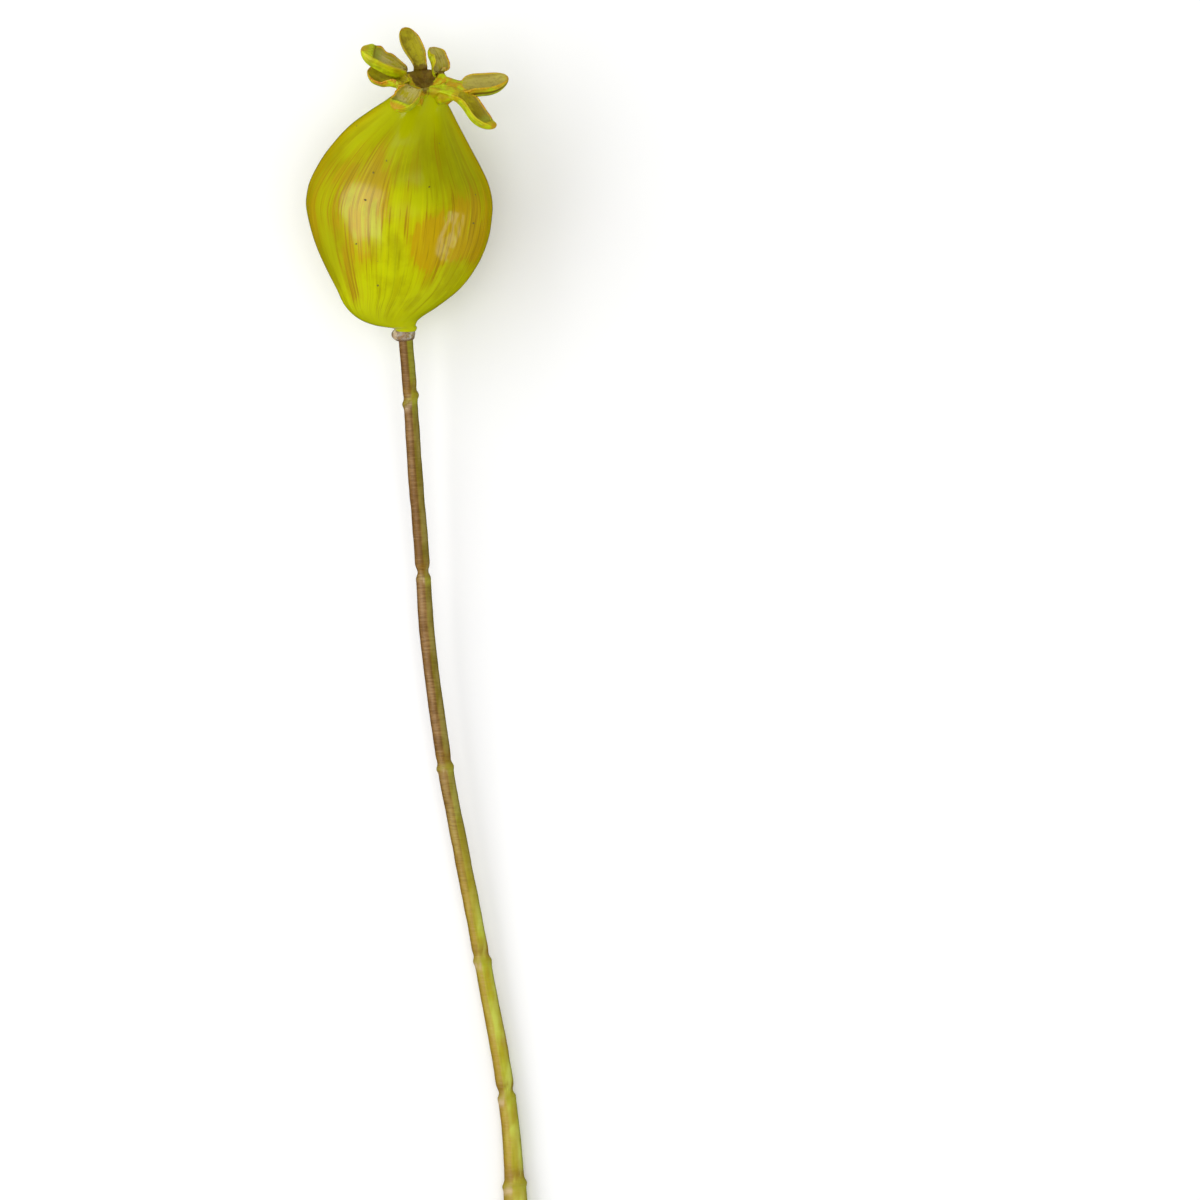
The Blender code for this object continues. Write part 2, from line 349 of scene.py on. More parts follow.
@dataclass(frozen=True)
class PodPaint(Finish):
    """Lime moulding, olive paint and painted shade, with ochre brush strokes along its length."""

    lime: Tint = (188, 194, 0)
    leaf: Tint = (172, 170, 0)
    # olive paint, also laid as painted shade where the attribute shade is high
    olive: Tint = (136, 137, 0)
    ochre: Tint = (190, 152, 0)
    umber: Tint = (156, 118, 0)
    bronze: Tint = (158, 138, 0)      # strokes turn to it towards the neck
    wash: Tint = (176, 152, 0)        # thin paint round the strokes
    line: Tint = (130, 106, 0)        # single dark bristle marks
    gap: Tint = (202, 200, 0)         # bare lime between bristle marks
    painted_shade: Tint = (130, 122, 0)        # painted shade, darker olive over the shaded stretches
    warm: Tint = (210, 180, 2)        # both flanks: warm paint and a painted rim reflection

    def paint(self, graph: Graph) -> tuple[Wire, Wire | float, Wire | None]:
        """Strokes follow the attribute brush, whose third part runs along the pod.

        Args:
            graph: the material's nodes.

        Returns:
            Colour, roughness and height.
        """
        brush = graph.attribute("brush", "Vector")
        hair = graph.noise(graph.stretched(brush, (36.0, 36.0, 1.2)), 1.0, 2.0, 0.6)
        bristle = graph.noise(graph.stretched(brush, (16.0, 16.0, 0.9), (3, 1, 7)), 1.0, 2.0, 0.55)
        swath = graph.noise(graph.stretched(brush, (5.5, 5.5, 0.8), (8, 5, 2)), 1.0, 1.0, 0.5)
        cloud = graph.noise(graph.stretched(brush, (2.2, 2.2, 2.4), (1, 9, 4)), 1.0, 2.0, 0.5)
        mottle = graph.noise(graph.stretched(brush, (9.0, 9.0, 9.0), (4, 4, 1)), 1.0, 3.0, 0.6)
        wanted = graph.attribute("paint")
        shade = graph.attribute("shade")
        body = graph.attribute("body")
        fibre = (hair - 0.5) * 1.5 + (bristle - 0.5) * 1.7 + (swath - 0.5) * 0.8
        uneven = (cloud - 0.5) * 0.5 + (mottle - 0.5) * 0.2 + (swath - 0.5) * 0.3
        # the ground's last coat is painted shade, partly olive paint
        ground = graph.coats(
            graph.two_tone(graph.step(uneven * body, -0.03, 0.10), self.lime, self.leaf),
            (graph.step(fibre * body, 0.12, 0.40) * 0.34, self.olive),
            (shade * (0.78 + ((cloud - 0.5) * 0.6 + (bristle - 0.5) * 0.8) * body), self.olive))
        load = fibre * (1.25 - wanted * 0.5) + (wanted - 0.5) * 1.15 + (mottle - 0.5) * 0.3
        thin = graph.step(load, -0.45, 0.10) * body
        stroke = graph.step(load, 0.10, 0.30) * body
        streak = graph.step((hair - 0.5) * 1.7 + (bristle - 0.5) * 0.7, 0.00, 0.24)
        rising = graph.step(graph.attribute("along"), -4.0, 12.0)
        tint = graph.coats(graph.two_tone(streak * 0.75, self.ochre, self.umber),
                           (rising * 0.35, self.bronze))
        colour = graph.mix(stroke * 0.78, graph.coats(ground, (thin * 0.42, self.wash)), tint)
        colour = graph.coats(
            colour,
            (graph.step(hair, 0.58, 0.66) * body * 0.30, self.line),
            (graph.step(hair, 0.42, 0.34) * body * 0.34, self.gap),
            # painted shade over everything in the shaded stretches
            (shade * 0.30, self.painted_shade),
            # warm paint and a painted rim reflection on both flanks
            (graph.attribute("warm_paint_and_rim_sheen") * (0.45 + graph.step(bristle, 0.40, 0.60) * 0.35),
             self.warm))
        rough = self.roughness + (bristle - 0.5) * 0.10 + stroke * 0.04
        height = (hair * 0.000007 + bristle * 0.000014 + mottle * 0.000006) * body
        return colour, rough, height + stroke * 0.000008


@dataclass(frozen=True)
class CrownPaint(Finish):
    """Lime hulls, olive faces with dust and painted sheen, pale rims, orange-brown worn edges."""

    lime: Tint = (184, 198, 0)
    leaf: Tint = (150, 160, 0)
    gold: Tint = (196, 146, 0)
    straw: Tint = (200, 164, 4)       # hull near its tip
    olive: Tint = (170, 160, 0)
    moss: Tint = (144, 130, 0)
    # grey-beige dust and painted sheen on the face
    dust_and_sheen: Tint = (190, 178, 96)
    freckle: Tint = (104, 84, 8)      # small dark spots on the face
    green: Tint = (152, 158, 40)      # where the hollow ends
    rim_shade: Tint = (134, 114, 2)      # painted shade on the face beside its rims
    curl: Tint = (190, 140, 14)       # turned-over tip
    crease: Tint = (124, 92, 10)      # line where the hollow ends
    groove: Tint = (104, 82, 0)       # painted shade: dark line under the rim
    # pale yellow rim paint with a painted highlight
    rim: Tint = (224, 196, 20)
    rust: Tint = (186, 118, 6)
    deep_rust: Tint = (124, 70, 0)
    bark: Tint = (88, 56, 2)
    lichen: Tint = (122, 102, 10)     # lighter patches in the bark

    def paint(self, graph: Graph) -> tuple[Wire, Wire | float, Wire | None]:
        """The attributes say where on its lobe a point lies, and how that lobe is tinted.

        Args:
            graph: the material's nodes.

        Returns:
            Colour, roughness and height.
        """
        spot = graph.spot()
        face = graph.attribute("face")
        across = graph.attribute("across")
        along = graph.attribute("along")
        fine = graph.noise(spot, 2200.0, 2.0, 0.6)
        patch = graph.noise(spot, 620.0, 2.0, 0.55)
        broad = graph.noise(graph.stretched(spot, (1, 1, 1), (0.3, 0.1, 0.2)), 240.0, 1.0, 0.5)
        way = graph.node("ShaderNodeCombineXYZ", {}, {0: across * 3.2, 1: along * 1.6,
                                                      2: broad * 2.0})
        vein = graph.noise(Wire(graph, way.outputs[0]), 2.2, 2.0, 0.5)
        side = graph.math("ABSOLUTE", across)
        stalk = graph.step(along, 0.62, 0.42)
        hull = graph.coats(
            graph.two_tone(graph.step(patch * 0.5 + vein * 0.5, 0.44, 0.62), self.lime, self.leaf),
            (graph.attribute("golden") * stalk * graph.step(patch * 0.7 + broad * 0.5, 0.50, 0.66),
             self.gold),
            (graph.step(along, 0.80, 1.0) * graph.step(patch, 0.40, 0.56) * 0.6, self.straw))
        inside = graph.coats(
            graph.two_tone(graph.step(patch * 0.4 + broad * 0.6, 0.42, 0.60),
                           self.olive, self.moss),
            # grey-beige dust and painted sheen
            (graph.attribute("dust_sheen") * graph.step(vein * 0.6 + broad * 0.4, 0.34, 0.54),
             self.dust_and_sheen),
            (graph.step(fine * 0.5 + patch * 0.5, 0.51, 0.62) * 0.28, self.freckle),
            (graph.attribute("ending") * 0.85, self.green),
            # painted shade on the face beside its rims
            (graph.step(side, 0.62, 0.84) * 0.5, self.rim_shade))
        # painted shade: a dark line in the groove under each rim
        groove = graph.step(side, 0.90, 0.95) * graph.step(side, 0.995, 0.975)
        groove = groove * graph.step(face, 0.10, 0.02) * graph.step(along, 0.25, 0.4)
        # the lip: pale yellow rim paint with a painted highlight
        lip = graph.step(side, 0.87, 0.94) * graph.step(face, 0.10, 0.35)
        lip = graph.math("MAXIMUM", lip, graph.step(side, 0.988, 0.998) * 0.7)
        lip = lip * graph.attribute("rim_paint_and_shine") * graph.step(along, 0.16, 0.34)
        scuff = graph.attribute("worn") * graph.step(patch * 0.6 + fine * 0.4, 0.40, 0.54)
        barked = graph.attribute("bark")
        crust = graph.step(barked + (patch - 0.5) * 1.1 + (fine - 0.5) * 0.6, 0.25, 0.62)
        colour = graph.coats(
            graph.mix(graph.step(face, 0.45, 0.80), hull, inside),
            (graph.attribute("curl") * graph.step(along, 0.86, 0.93) * 0.9, self.curl),
            (graph.attribute("crease") * 0.6, self.crease),
            (groove * graph.attribute("groove_shade") * 0.9, self.groove),
            (lip * graph.step(patch, 0.30, 0.50) * 0.9, self.rim),
            (scuff, self.rust),
            (scuff * graph.step(fine, 0.52, 0.66) * 0.5, self.deep_rust),
            (crust * 0.92, self.bark),
            (crust * graph.step(broad * 0.4 + patch * 0.6, 0.48, 0.58) * 0.7, self.lichen))
        rough = self.roughness + (patch - 0.5) * 0.2 + crust * 0.15
        height = fine * 0.00006 + patch * 0.00012 + vein * 0.00006
        return colour, rough, height


@dataclass(frozen=True)
class StemPaint(Finish):
    """Two-tone skin, brown on one side and green on the other, turning yellow-green low down."""

    brown: tuple[Tint, Tint] = ((140, 104, 52), (114, 76, 8))
    green: tuple[Tint, Tint] = ((146, 130, 52), (122, 106, 4))
    khaki: tuple[Tint, Tint] = ((174, 157, 32), (155, 133, 6))     # brown side, low down
    fresh: tuple[Tint, Tint] = ((190, 196, 72), (175, 182, 22))    # green side, low down
    shoot: Tint = (146, 148, 14)      # green side just under the pod
    honey: Tint = (166, 132, 4)       # long patches low down
    seam: Tint = (96, 70, 6)          # line where the two sides meet
    # painted shade: both edges of the skin darker, as seen from above
    far_edge_shade: Tint = (96, 90, 14)
    near_edge: Tint = (92, 58, 6)
    rusty: Tint = (156, 112, 4)
    above: Tint = (134, 98, 2)        # warm stain above a joint
    below_green: Tint = (168, 172, 16)
    below_brown: Tint = (206, 178, 138)
    notch: Tint = (84, 56, 4)         # the pinch in a joint
    ring: Tint = (152, 140, 14)
    tick: Tint = (90, 58, 8)          # dark marks across the skin
    fleck: Tint = (184, 150, 96)      # pale marks across the skin
    cut: Tint = (196, 190, 120)       # the cut end

    def paint(self, graph: Graph) -> tuple[Wire, Wire | float, Wire | None]:
        """The attribute around is the cosine of the angle from the skin's right side.

        Args:
            graph: the material's nodes.

        Returns:
            Colour, roughness and height.
        """
        spot = graph.spot()
        around = graph.attribute("around")
        along = graph.attribute("along")
        above = graph.attribute("above_joint")
        below = graph.attribute("below_joint")
        grain = graph.noise(graph.stretched(spot, (1, 0.12, 1)), 1500.0, 2.0, 0.6)
        patch = graph.noise(graph.stretched(spot, (1, 0.3, 1), (0.2, 0.4, 0.1)), 420.0, 2.0, 0.5)
        rings = graph.noise(graph.stretched(spot, (0.16, 1, 0.16)), 2500.0, 1.0, 0.5)
        low = graph.step(along, -30.0, -82.0)
        green_side = graph.step(around + (patch - 0.5) * 0.40 + low * 0.34 - 0.06, -0.06, 0.28)
        brown, green, khaki, fresh = (
            graph.two_tone(graph.step(patch, 0.36, 0.64), *pair)
            for pair in (self.brown, self.green, self.khaki, self.fresh))
        green = graph.coats(green, (graph.step(along, 46.0, 54.0) * 0.7, self.shoot))
        upper = graph.mix(green_side, brown, green)
        long_patch = graph.noise(graph.stretched(spot, (1, 0.35, 1), (0.7, 0.1, 0.4)), 130.0)
        lower = graph.coats(
            graph.mix(green_side, khaki, fresh),
            (graph.step(long_patch + (patch - 0.5) * 0.2, 0.50, 0.62) * 0.5, self.honey))
        seam = graph.step(around, -0.14, 0.0) * graph.step(around, 0.18, 0.04)
        rusty = graph.noise(graph.stretched(spot, (1, 0.5, 1), (0.2, 0.9, 0.6)), 210.0)
        rusty = graph.step(rusty + (patch - 0.5) * 0.25, 0.54, 0.66) * low
        warm = graph.step(patch * 0.6 + grain * 0.4, 0.36, 0.52)
        marks = rings * 0.8 + grain * 0.2
        colour = graph.coats(
            graph.mix(graph.step(along, -20.0, -78.0), upper, lower),
            (seam * graph.step(patch, 0.35, 0.6) * (0.45 - low * 0.3), self.seam),
            # painted shade along both edges of the skin
            (graph.step(around, 0.78, 0.97) * 0.5, self.far_edge_shade),
            (graph.step(around, -0.66, -0.95) * (0.5 - low * 0.2), self.near_edge),
            (rusty * 0.4, self.rusty),
            (above * warm * 0.7, self.above),
            (below * green_side * warm * 0.6, self.below_green),
            (below * (1 - green_side) * graph.step(patch, 0.40, 0.52) * 0.8, self.below_brown),
            (graph.step(above * below, 0.22, 0.55) * 0.75, self.notch),
            (graph.attribute("on_ring") * 0.8, self.ring),
            (graph.step(marks, 0.50, 0.62) * (1 - green_side * 0.6) * (1 - low * 0.85) * 0.42,
             self.tick),
            (graph.step(marks, 0.46, 0.36) * (1 - green_side * 0.5) * 0.16, self.fleck),
            (graph.step(along, -136.6, -136.9) * 0.9, self.cut))
        rough = self.roughness + (patch - 0.5) * 0.15
        height = grain * 0.00003 + rings * 0.00008 + patch * 0.00005
        return colour, rough, height


@dataclass(frozen=True)
class ClearGlue(Finish):
    """Clear, faintly pink glue with small clouds in it, and painted glints."""

    clear: Tint = (246, 230, 206)
    clouded: Tint = (216, 186, 148)
    # painted glints, near white
    glint: Tint = (255, 250, 238)
    low_edge: Tint = (150, 104, 66)

    def paint(self, graph: Graph) -> tuple[Wire, Wire | float, Wire | None]:
        """Clouds tint it and soften its gloss; painted glints lie on it; its lower edge is darker.

        Args:
            graph: the material's nodes.

        Returns:
            Colour, roughness and height.
        """
        spot = graph.spot()
        cloud = graph.noise(spot, 620.0, 2.0, 0.5)
        # painted glints: near-white spots
        glint = graph.noise(graph.stretched(spot, (1, 1, 1), (0.6, 0.2, 0.9)), 900.0, 1.0, 0.5)
        colour = graph.coats(
            graph.two_tone(graph.step(cloud, 0.40, 0.60), self.clear, self.clouded),
            (graph.step(glint, 0.54, 0.62), self.glint),
            (graph.attribute("low_edge") * 0.7, self.low_edge))
        return colour, self.roughness + (cloud - 0.5) * 0.12, cloud * 0.00020 + glint * 0.00012


@dataclass(frozen=True)
class Speck(Finish):
    """Dark grains of dried paint."""

    brown: Tint = (74, 52, 6)
    olive: Tint = (110, 100, 4)

    def paint(self, graph: Graph) -> tuple[Wire, Wire | float, Wire | None]:
        """Grains vary from brown to olive.

        Args:
            graph: the material's nodes.

        Returns:
            Colour, roughness and no height.
        """
        spot = graph.spot()
        tone = graph.noise(spot, 300.0, 1.0, 0.5)
        colour = graph.two_tone(graph.step(tone, 0.4, 0.6), self.brown, self.olive)
        return colour, self.roughness, None


@dataclass(frozen=True)
class Ground(Finish):
    """Plain pale floor."""

    grey: Tint = (250, 250, 250)
    white: Tint = (253, 253, 253)

    def paint(self, graph: Graph) -> tuple[Wire, Wire | float, Wire | None]:
        """A faint unevenness keeps the pale floor from being one flat value.

        Args:
            graph: the material's nodes.

        Returns:
            Colour, roughness and no height.
        """
        spot = graph.spot()
        tone = graph.noise(spot, 3.0, 1.0, 0.5)
        return graph.two_tone(tone, self.grey, self.white), self.roughness, None


# ---------------------------------------------------------------- meshes


def add_object(name: str, data: Any) -> bpy.types.Object:
    """Put a mesh, curve, light or camera into the scene.

    Args:
        name: the object's name.
        data: what the object shows.

    Returns:
        The object, at the origin.
    """
    thing = bpy.data.objects.new(name, data)
    bpy.context.scene.collection.objects.link(thing)
    return thing


def make_piece(name: str, points: Array, faces: list[tuple[int, ...]], material: bpy.types.Material,
               values: dict[str, Array]) -> bpy.types.Object:
    """Make a closed, smooth mesh object.

    Args:
        name: the object's name.
        points: vertices in millimetres, one row each.
        faces: vertex numbers of each face.
        material: the finish of all faces.
        values: attributes by name, with one number or one vector for each vertex.

    Returns:
        The object, at the origin.
    """
    mesh = bpy.data.meshes.new(name)
    mesh.from_pydata((points * MM).tolist(), [], faces)
    for label, column in values.items():
        column = np.asarray(column, np.float32)
        kind, key = ("FLOAT", "value") if column.ndim == 1 else ("FLOAT_VECTOR", "vector")
        layer = mesh.attributes.new(label, kind, "POINT")
        layer.data.foreach_set(key, column.ravel())
    mesh.materials.append(material)
    mesh.shade_smooth()
    mesh.update()
    return add_object(name, mesh)


def tube_faces(rings: int, sides: int, first: int = 0) -> list[tuple[int, ...]]:
    """Quads between rings of vertices that follow each other.

    Args:
        rings: how many rings.
        sides: vertices in each ring.
        first: number of the first ring's first vertex.

    Returns:
        Vertex numbers of each quad.
    """
    faces = []
    for ring in range(rings - 1):
        start, after = first + ring * sides, first + (ring + 1) * sides
        for side in range(sides):
            beside = (side + 1) % sides
            faces.append((start + side, start + beside, after + beside, after + side))
    return faces


def fan_faces(ring: list[int], middle: int) -> list[tuple[int, ...]]:
    """Triangles between a ring of vertices and one in its middle.

    Args:
        ring: vertex numbers round the ring.
        middle: number of the vertex in the middle.

    Returns:
        Vertex numbers of each triangle.
    """
    return [(ring[side], ring[(side + 1) % len(ring)], middle) for side in range(len(ring))]


def face_outwards(thing: bpy.types.Object) -> None:
    """Turn all faces out if the closed mesh is inside out.

    Args:
        thing: a closed mesh object whose faces agree with each other.
    """
    mesh = thing.data
    mesh.calc_loop_triangles()
    corners = np.empty(len(mesh.vertices) * 3)
    mesh.vertices.foreach_get("co", corners)
    corners = corners.reshape(-1, 3)
    triangles = np.empty(len(mesh.loop_triangles) * 3, int)
    mesh.loop_triangles.foreach_get("vertices", triangles)
    a, b, c = (corners[triangles.reshape(-1, 3)[:, index]] for index in range(3))
    if np.einsum("ij,ij->i", a, np.cross(b, c)).sum() < 0:
        mesh.flip_normals()


def close_and_turn(thing: bpy.types.Object) -> None:
    """Merge doubled vertices of a mesh, and make all its faces agree and look out.

    Args:
        thing: a mesh object that is closed once its doubles are merged.
    """
    builder = bmesh.new()
    builder.from_mesh(thing.data)
    bmesh.ops.remove_doubles(builder, verts=builder.verts[:], dist=1e-7)
    bmesh.ops.recalc_face_normals(builder, faces=builder.faces[:])
    builder.to_mesh(thing.data)
    builder.free()
    face_outwards(thing)


def start_tree(name: str, sizes: dict[str, float]) -> tuple[Graph, Any]:
    """Start a Geometry Nodes tree that takes a geometry and named sizes.

    Args:
        name: the tree's name.
        sizes: the sizes by name.

    Returns:
        The tree's nodes, and the node whose outputs are the geometry and the sizes.
    """
    graph = Graph(bpy.data.node_groups.new(name, "GeometryNodeTree"))
    sockets = graph.tree.interface
    sockets.new_socket("Geometry", in_out="INPUT", socket_type="NodeSocketGeometry")
    for size in sizes:
        sockets.new_socket(size, in_out="INPUT", socket_type="NodeSocketFloat")
    sockets.new_socket("Geometry", in_out="OUTPUT", socket_type="NodeSocketGeometry")
    return graph, graph.node("NodeGroupInput", {}, {})


def end_tree(graph: Graph, shape: Any, material: bpy.types.Material) -> bpy.types.NodeTree:
    """End a Geometry Nodes tree with real, dressed geometry.

    Args:
        graph: the tree's nodes.
        shape: the output that gives the finished shape.
        material: the finish of the whole shape.

    Returns:
        The node tree.
    """
    real = graph.node("GeometryNodeRealizeInstances", {}, {0: shape})
    dressed = graph.node("GeometryNodeSetMaterial", {}, {
        0: real.outputs[0], "Material": material})
    graph.node("NodeGroupOutput", {}, {0: dressed.outputs[0]})
    return graph.tree


def grow(source: bpy.types.Object, tree: bpy.types.NodeTree, sizes: dict[str, float],
         name: str) -> bpy.types.Object:
    """Run a tree on an object, and keep the result as a plain mesh in the object's place.

    Args:
        source: the object that the tree starts from; it is removed.
        tree: the node tree.
        sizes: the tree's sizes by name, each set by its socket's identifier.
        name: the new object's name.

    Returns:
        A mesh object without modifiers.
    """
    modifier = source.modifiers.new(tree.name, "NODES")
    modifier.node_group = tree
    for item in tree.interface.items_tree:
        if item.item_type == "SOCKET" and item.in_out == "INPUT" and item.name in sizes:
            modifier[item.identifier] = sizes[item.name]
    bpy.context.view_layer.update()
    depsgraph = bpy.context.evaluated_depsgraph_get()
    mesh = bpy.data.meshes.new_from_object(source.evaluated_get(depsgraph))
    mesh.name = name
    bpy.data.objects.remove(source, do_unlink=True)
    return add_object(name, mesh)


def settle(piece: bpy.types.Object, node: str) -> None:
    """Let a finished piece stand for a node of the fixed frame.

    Args:
        piece: the finished piece.
        node: the node that it replaces.
    """
    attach(piece, "root")
    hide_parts(node)


@dataclass(frozen=True)
class PaintPatch:
    """A stretch of the pod with more or less brush paint, or with painted shade."""

    angle: float          # degrees round the pod; 0 is its right side and 90 its top
    spread: float         # degrees to each side
    low: float            # where it starts along the pod
    high: float           # where it ends
    weight: float         # how much more paint, or painted shade; below 0 wipes paint away

    def cover(self, angles: Array, along: Array) -> Array:
        """Weight of the patch at points of the pod.

        Args:
            angles: degrees round the pod.
            along: places along the pod.

        Returns:
            One weight for each point.
        """
        away = (angles - self.angle + 180) % 360 - 180
        sides = np.exp(-((away / self.spread) ** 2))
        starts = ease((along - self.low) / LOW_FADE + 0.5)
        return self.weight * sides * starts * ease((self.high - along) / HIGH_FADE + 0.5)


@dataclass
class Pod:
    """The painted capsule: rings along an axis that rises and bends towards its neck."""

    finish: PodPaint
    centre: tuple[float, float] = (-4.3, 97.4)
    pitch: float = 0.14
    bend: float = 0.0075
    sides: int = 520
    rings: int = 150
    neck_overlap: float = 0.55    # how far the neck reaches up round the crown's hub
    neck_hollow: float = 4.5      # depth of the hollow under the hub
    crowding: float = 0.75        # how much the rings crowd towards both ends
    wrap: float = 20.0            # radius that patterns are wrapped on
    flank_width: float = 0.30     # half width of the warm paint and painted rim reflection on each flank
    lean: float = 0.35            # degrees that strokes turn for each millimetre along the pod
    stations: tuple[Point, ...] = (   # (distance along, sideways offset, radius)
        (-29.5, 1.4, 2.3),
        (-28.8, 1.2, 2.8),
        (-28.1, -1.0, 4.7),
        (-26.7, -2.3, 6.9),
        (-24.0, -1.8, 10.4),
        (-19.9, -0.3, 14.0),
        (-14.5, 0.4, 17.3),
        (-9.0, 0.5, 19.6),
        (-3.6, 0.2, 20.8),
        (0.0, 0.0, 21.0),
        (4.5, -0.1, 19.9),
        (9.9, 0.1, 16.9),
        (15.4, 1.1, 12.9),
        (18.6, 2.5, 9.9),
        (20.8, 3.6, 7.7),
        (22.6, 4.8, 6.4),
        (24.0, 5.5, 5.5),
        (25.4, 6.0, 5.0),
    )
    strokes: tuple[PaintPatch, ...] = (
        PaintPatch(67.0, 14.0, -12.5, -2.0, 0.95),
        PaintPatch(69.0, 11.0, -18.5, -5.0, 0.72),
        PaintPatch(46.0, 15.0, -12.5, 5.0, 0.84),
        PaintPatch(22.0, 16.0, -14.5, 6.0, 0.66),
        PaintPatch(134.0, 17.0, -25.0, -7.0, 0.52),
        PaintPatch(117.0, 12.0, -16.0, 9.0, 0.34),
        PaintPatch(140.0, 18.0, -6.0, 12.0, 0.50),
        PaintPatch(112.0, 11.0, -13.0, 1.0, 0.45),
        PaintPatch(124.0, 24.0, 6.0, 19.0, 0.42),
        PaintPatch(98.0, 5.0, -4.0, 12.0, 0.62),
        PaintPatch(108.0, 8.0, 2.0, 16.0, 0.50),
        PaintPatch(84.0, 8.0, -14.0, 5.0, 0.52),
        PaintPatch(163.0, 13.0, -10.0, 13.0, 0.62),
        PaintPatch(80.0, 16.0, 5.0, 16.0, 0.34),
        PaintPatch(93.0, 11.0, -30.0, -7.0, -0.55),
        PaintPatch(168.0, 12.0, -28.0, -14.0, -0.40),
        PaintPatch(200.0, 14.0, -20.0, 9.0, 0.75),
        PaintPatch(238.0, 12.0, -12.0, 12.0, 0.70),
        PaintPatch(276.0, 15.0, -22.0, 4.0, 0.80),
        PaintPatch(318.0, 13.0, -14.0, 10.0, 0.65),
        PaintPatch(346.0, 12.0, -20.0, 6.0, 0.60),
    )
    # painted shade, partly darker olive paint: stretches of the pod painted darker
    shades: tuple[PaintPatch, ...] = (
        PaintPatch(46.0, 34.0, 0.0, 19.0, 0.55),
        PaintPatch(66.0, 12.0, 5.0, 18.0, 0.22),
        PaintPatch(28.0, 18.0, 1.0, 14.0, 0.22),
        PaintPatch(108.0, 42.0, 7.0, 23.0, 0.50),
        PaintPatch(166.0, 20.0, -18.0, 14.0, 0.86),
        PaintPatch(134.0, 11.0, -14.0, 8.0, 0.42),
        PaintPatch(350.0, 30.0, -16.0, 14.0, 0.30),
        PaintPatch(225.0, 50.0, -18.0, 14.0, 0.40),
    )

    dents: tuple[Waves, ...] = (Waves(0.10, 26.0, 5), Waves(0.035, 7.0, 6))
    creases: tuple[Waves, ...] = (Waves(0.11, 3.6, 7), Waves(0.04, 1.6, 8))
    creased: PaintPatch = PaintPatch(57.0, 14.0, -15.0, 2.0, 1.0)    # where the creases are
    brushed: Waves = Waves(0.010, 1.1, 9)
    brush_rate: float = 0.08      # how fast brush ridges change along the pod, against round it
    uneven: Stretch = Stretch(-27.5, 4.0, 25.0, 3.0)
    stroked: Stretch = Stretch(-24.0, 4.0, 24.0, 6.0)
    painted: Stretch = Stretch(-29.0, 7.0, 23.0, 9.0)

    def rise(self, along: Array | float) -> Array:
        """Height of the axis above its height at the widest ring."""
        return self.pitch * np.asarray(along) + self.bend * np.maximum(along, 0.0) ** 2

    def direction(self, along: Array | float) -> Array:
        """Direction of the axis, without its sideways drift.

        Args:
            along: places along the pod.

        Returns:
            One unit vector for each place.
        """
        slope = self.pitch + 2 * self.bend * np.maximum(along, 0.0)
        slope = np.atleast_1d(slope)
        return unit(np.stack([np.zeros_like(slope), np.ones_like(slope), slope], axis=1))

    def axis(self, along: Array | float) -> Array:
        """Middle of the ring at each place along the pod.

        Args:
            along: places along the pod.

        Returns:
            One point for each place.
        """
        along = np.atleast_1d(np.asarray(along, float))
        widest = max(radius for _, _, radius in self.stations)
        sideways = smooth(self.stations, along)[:, 0]
        return np.stack([self.centre[0] + sideways, self.centre[1] + along,
                         widest + self.rise(along)], axis=1)

    def rows(self) -> tuple[Array, Array]:
        """Places of the rings, which crowd towards both ends.

        Returns:
            The places along the pod, and the rings' radii.
        """
        low, high = self.stations[0][0], self.stations[-1][0] + self.neck_overlap
        share = np.linspace(0, 1, self.rings)
        eased = 0.5 - 0.5 * np.cos(math.pi * share)
        along = low + (high - low) * ((1 - self.crowding) * share + self.crowding * eased)
        return along, smooth(self.stations, along)[:, 1]

    def outline_box(self) -> tuple[Array, Array]:
        """Box of the smooth pod, as the fixed frame has it.

        Returns:
            Its lowest and its highest corner.
        """
        along, radius = self.rows()
        inside = along <= self.stations[-1][0]
        points = self.grid(along[inside], np.repeat(radius[inside, None], 36, axis=1))
        return points.min(axis=0), points.max(axis=0)

    def grid(self, along: Array, radius: Array) -> Array:
        """Points of rings whose radius may change round them.

        Args:
            along: place of each ring.
            radius: one row for each ring and one column for each side.

        Returns:
            All points, ring after ring.
        """
        sides = radius.shape[1]
        angles = 2 * math.pi * np.arange(sides) / sides
        ahead = self.direction(along)
        right = np.array([1.0, 0.0, 0.0])
        up = np.cross(right, ahead)
        spokes = (np.cos(angles)[None, :, None] * right[None, None, :]
                  + np.sin(angles)[None, :, None] * up[:, None, :])
        return (self.axis(along)[:, None, :] + radius[:, :, None] * spokes).reshape(-1, 3)

    def unevenness(self, angles: Array, along: Array) -> Array:
        """Dents, moulding creases and brush ridges.

        Args:
            angles: degrees round the pod.
            along: places along the pod.

        Returns:
            How far each point stands out.
        """
        skin = self.wrapped(angles, along)
        swell = sum(waves.at(skin) for waves in self.dents)
        creases = sum(waves.at(skin) for waves in self.creases)
        swell = swell + self.creased.cover(angles, along) * creases
        swell = swell + self.brushed.at(self.wrapped(angles, along * self.brush_rate))
        return swell * self.uneven.cover(along)

    def wrapped(self, angles: Array, along: Array) -> Array:
        """Points on a straight drum, for patterns that go round the pod."""
        turn = np.radians(angles)
        return np.column_stack([np.cos(turn) * self.wrap, np.sin(turn) * self.wrap, along])

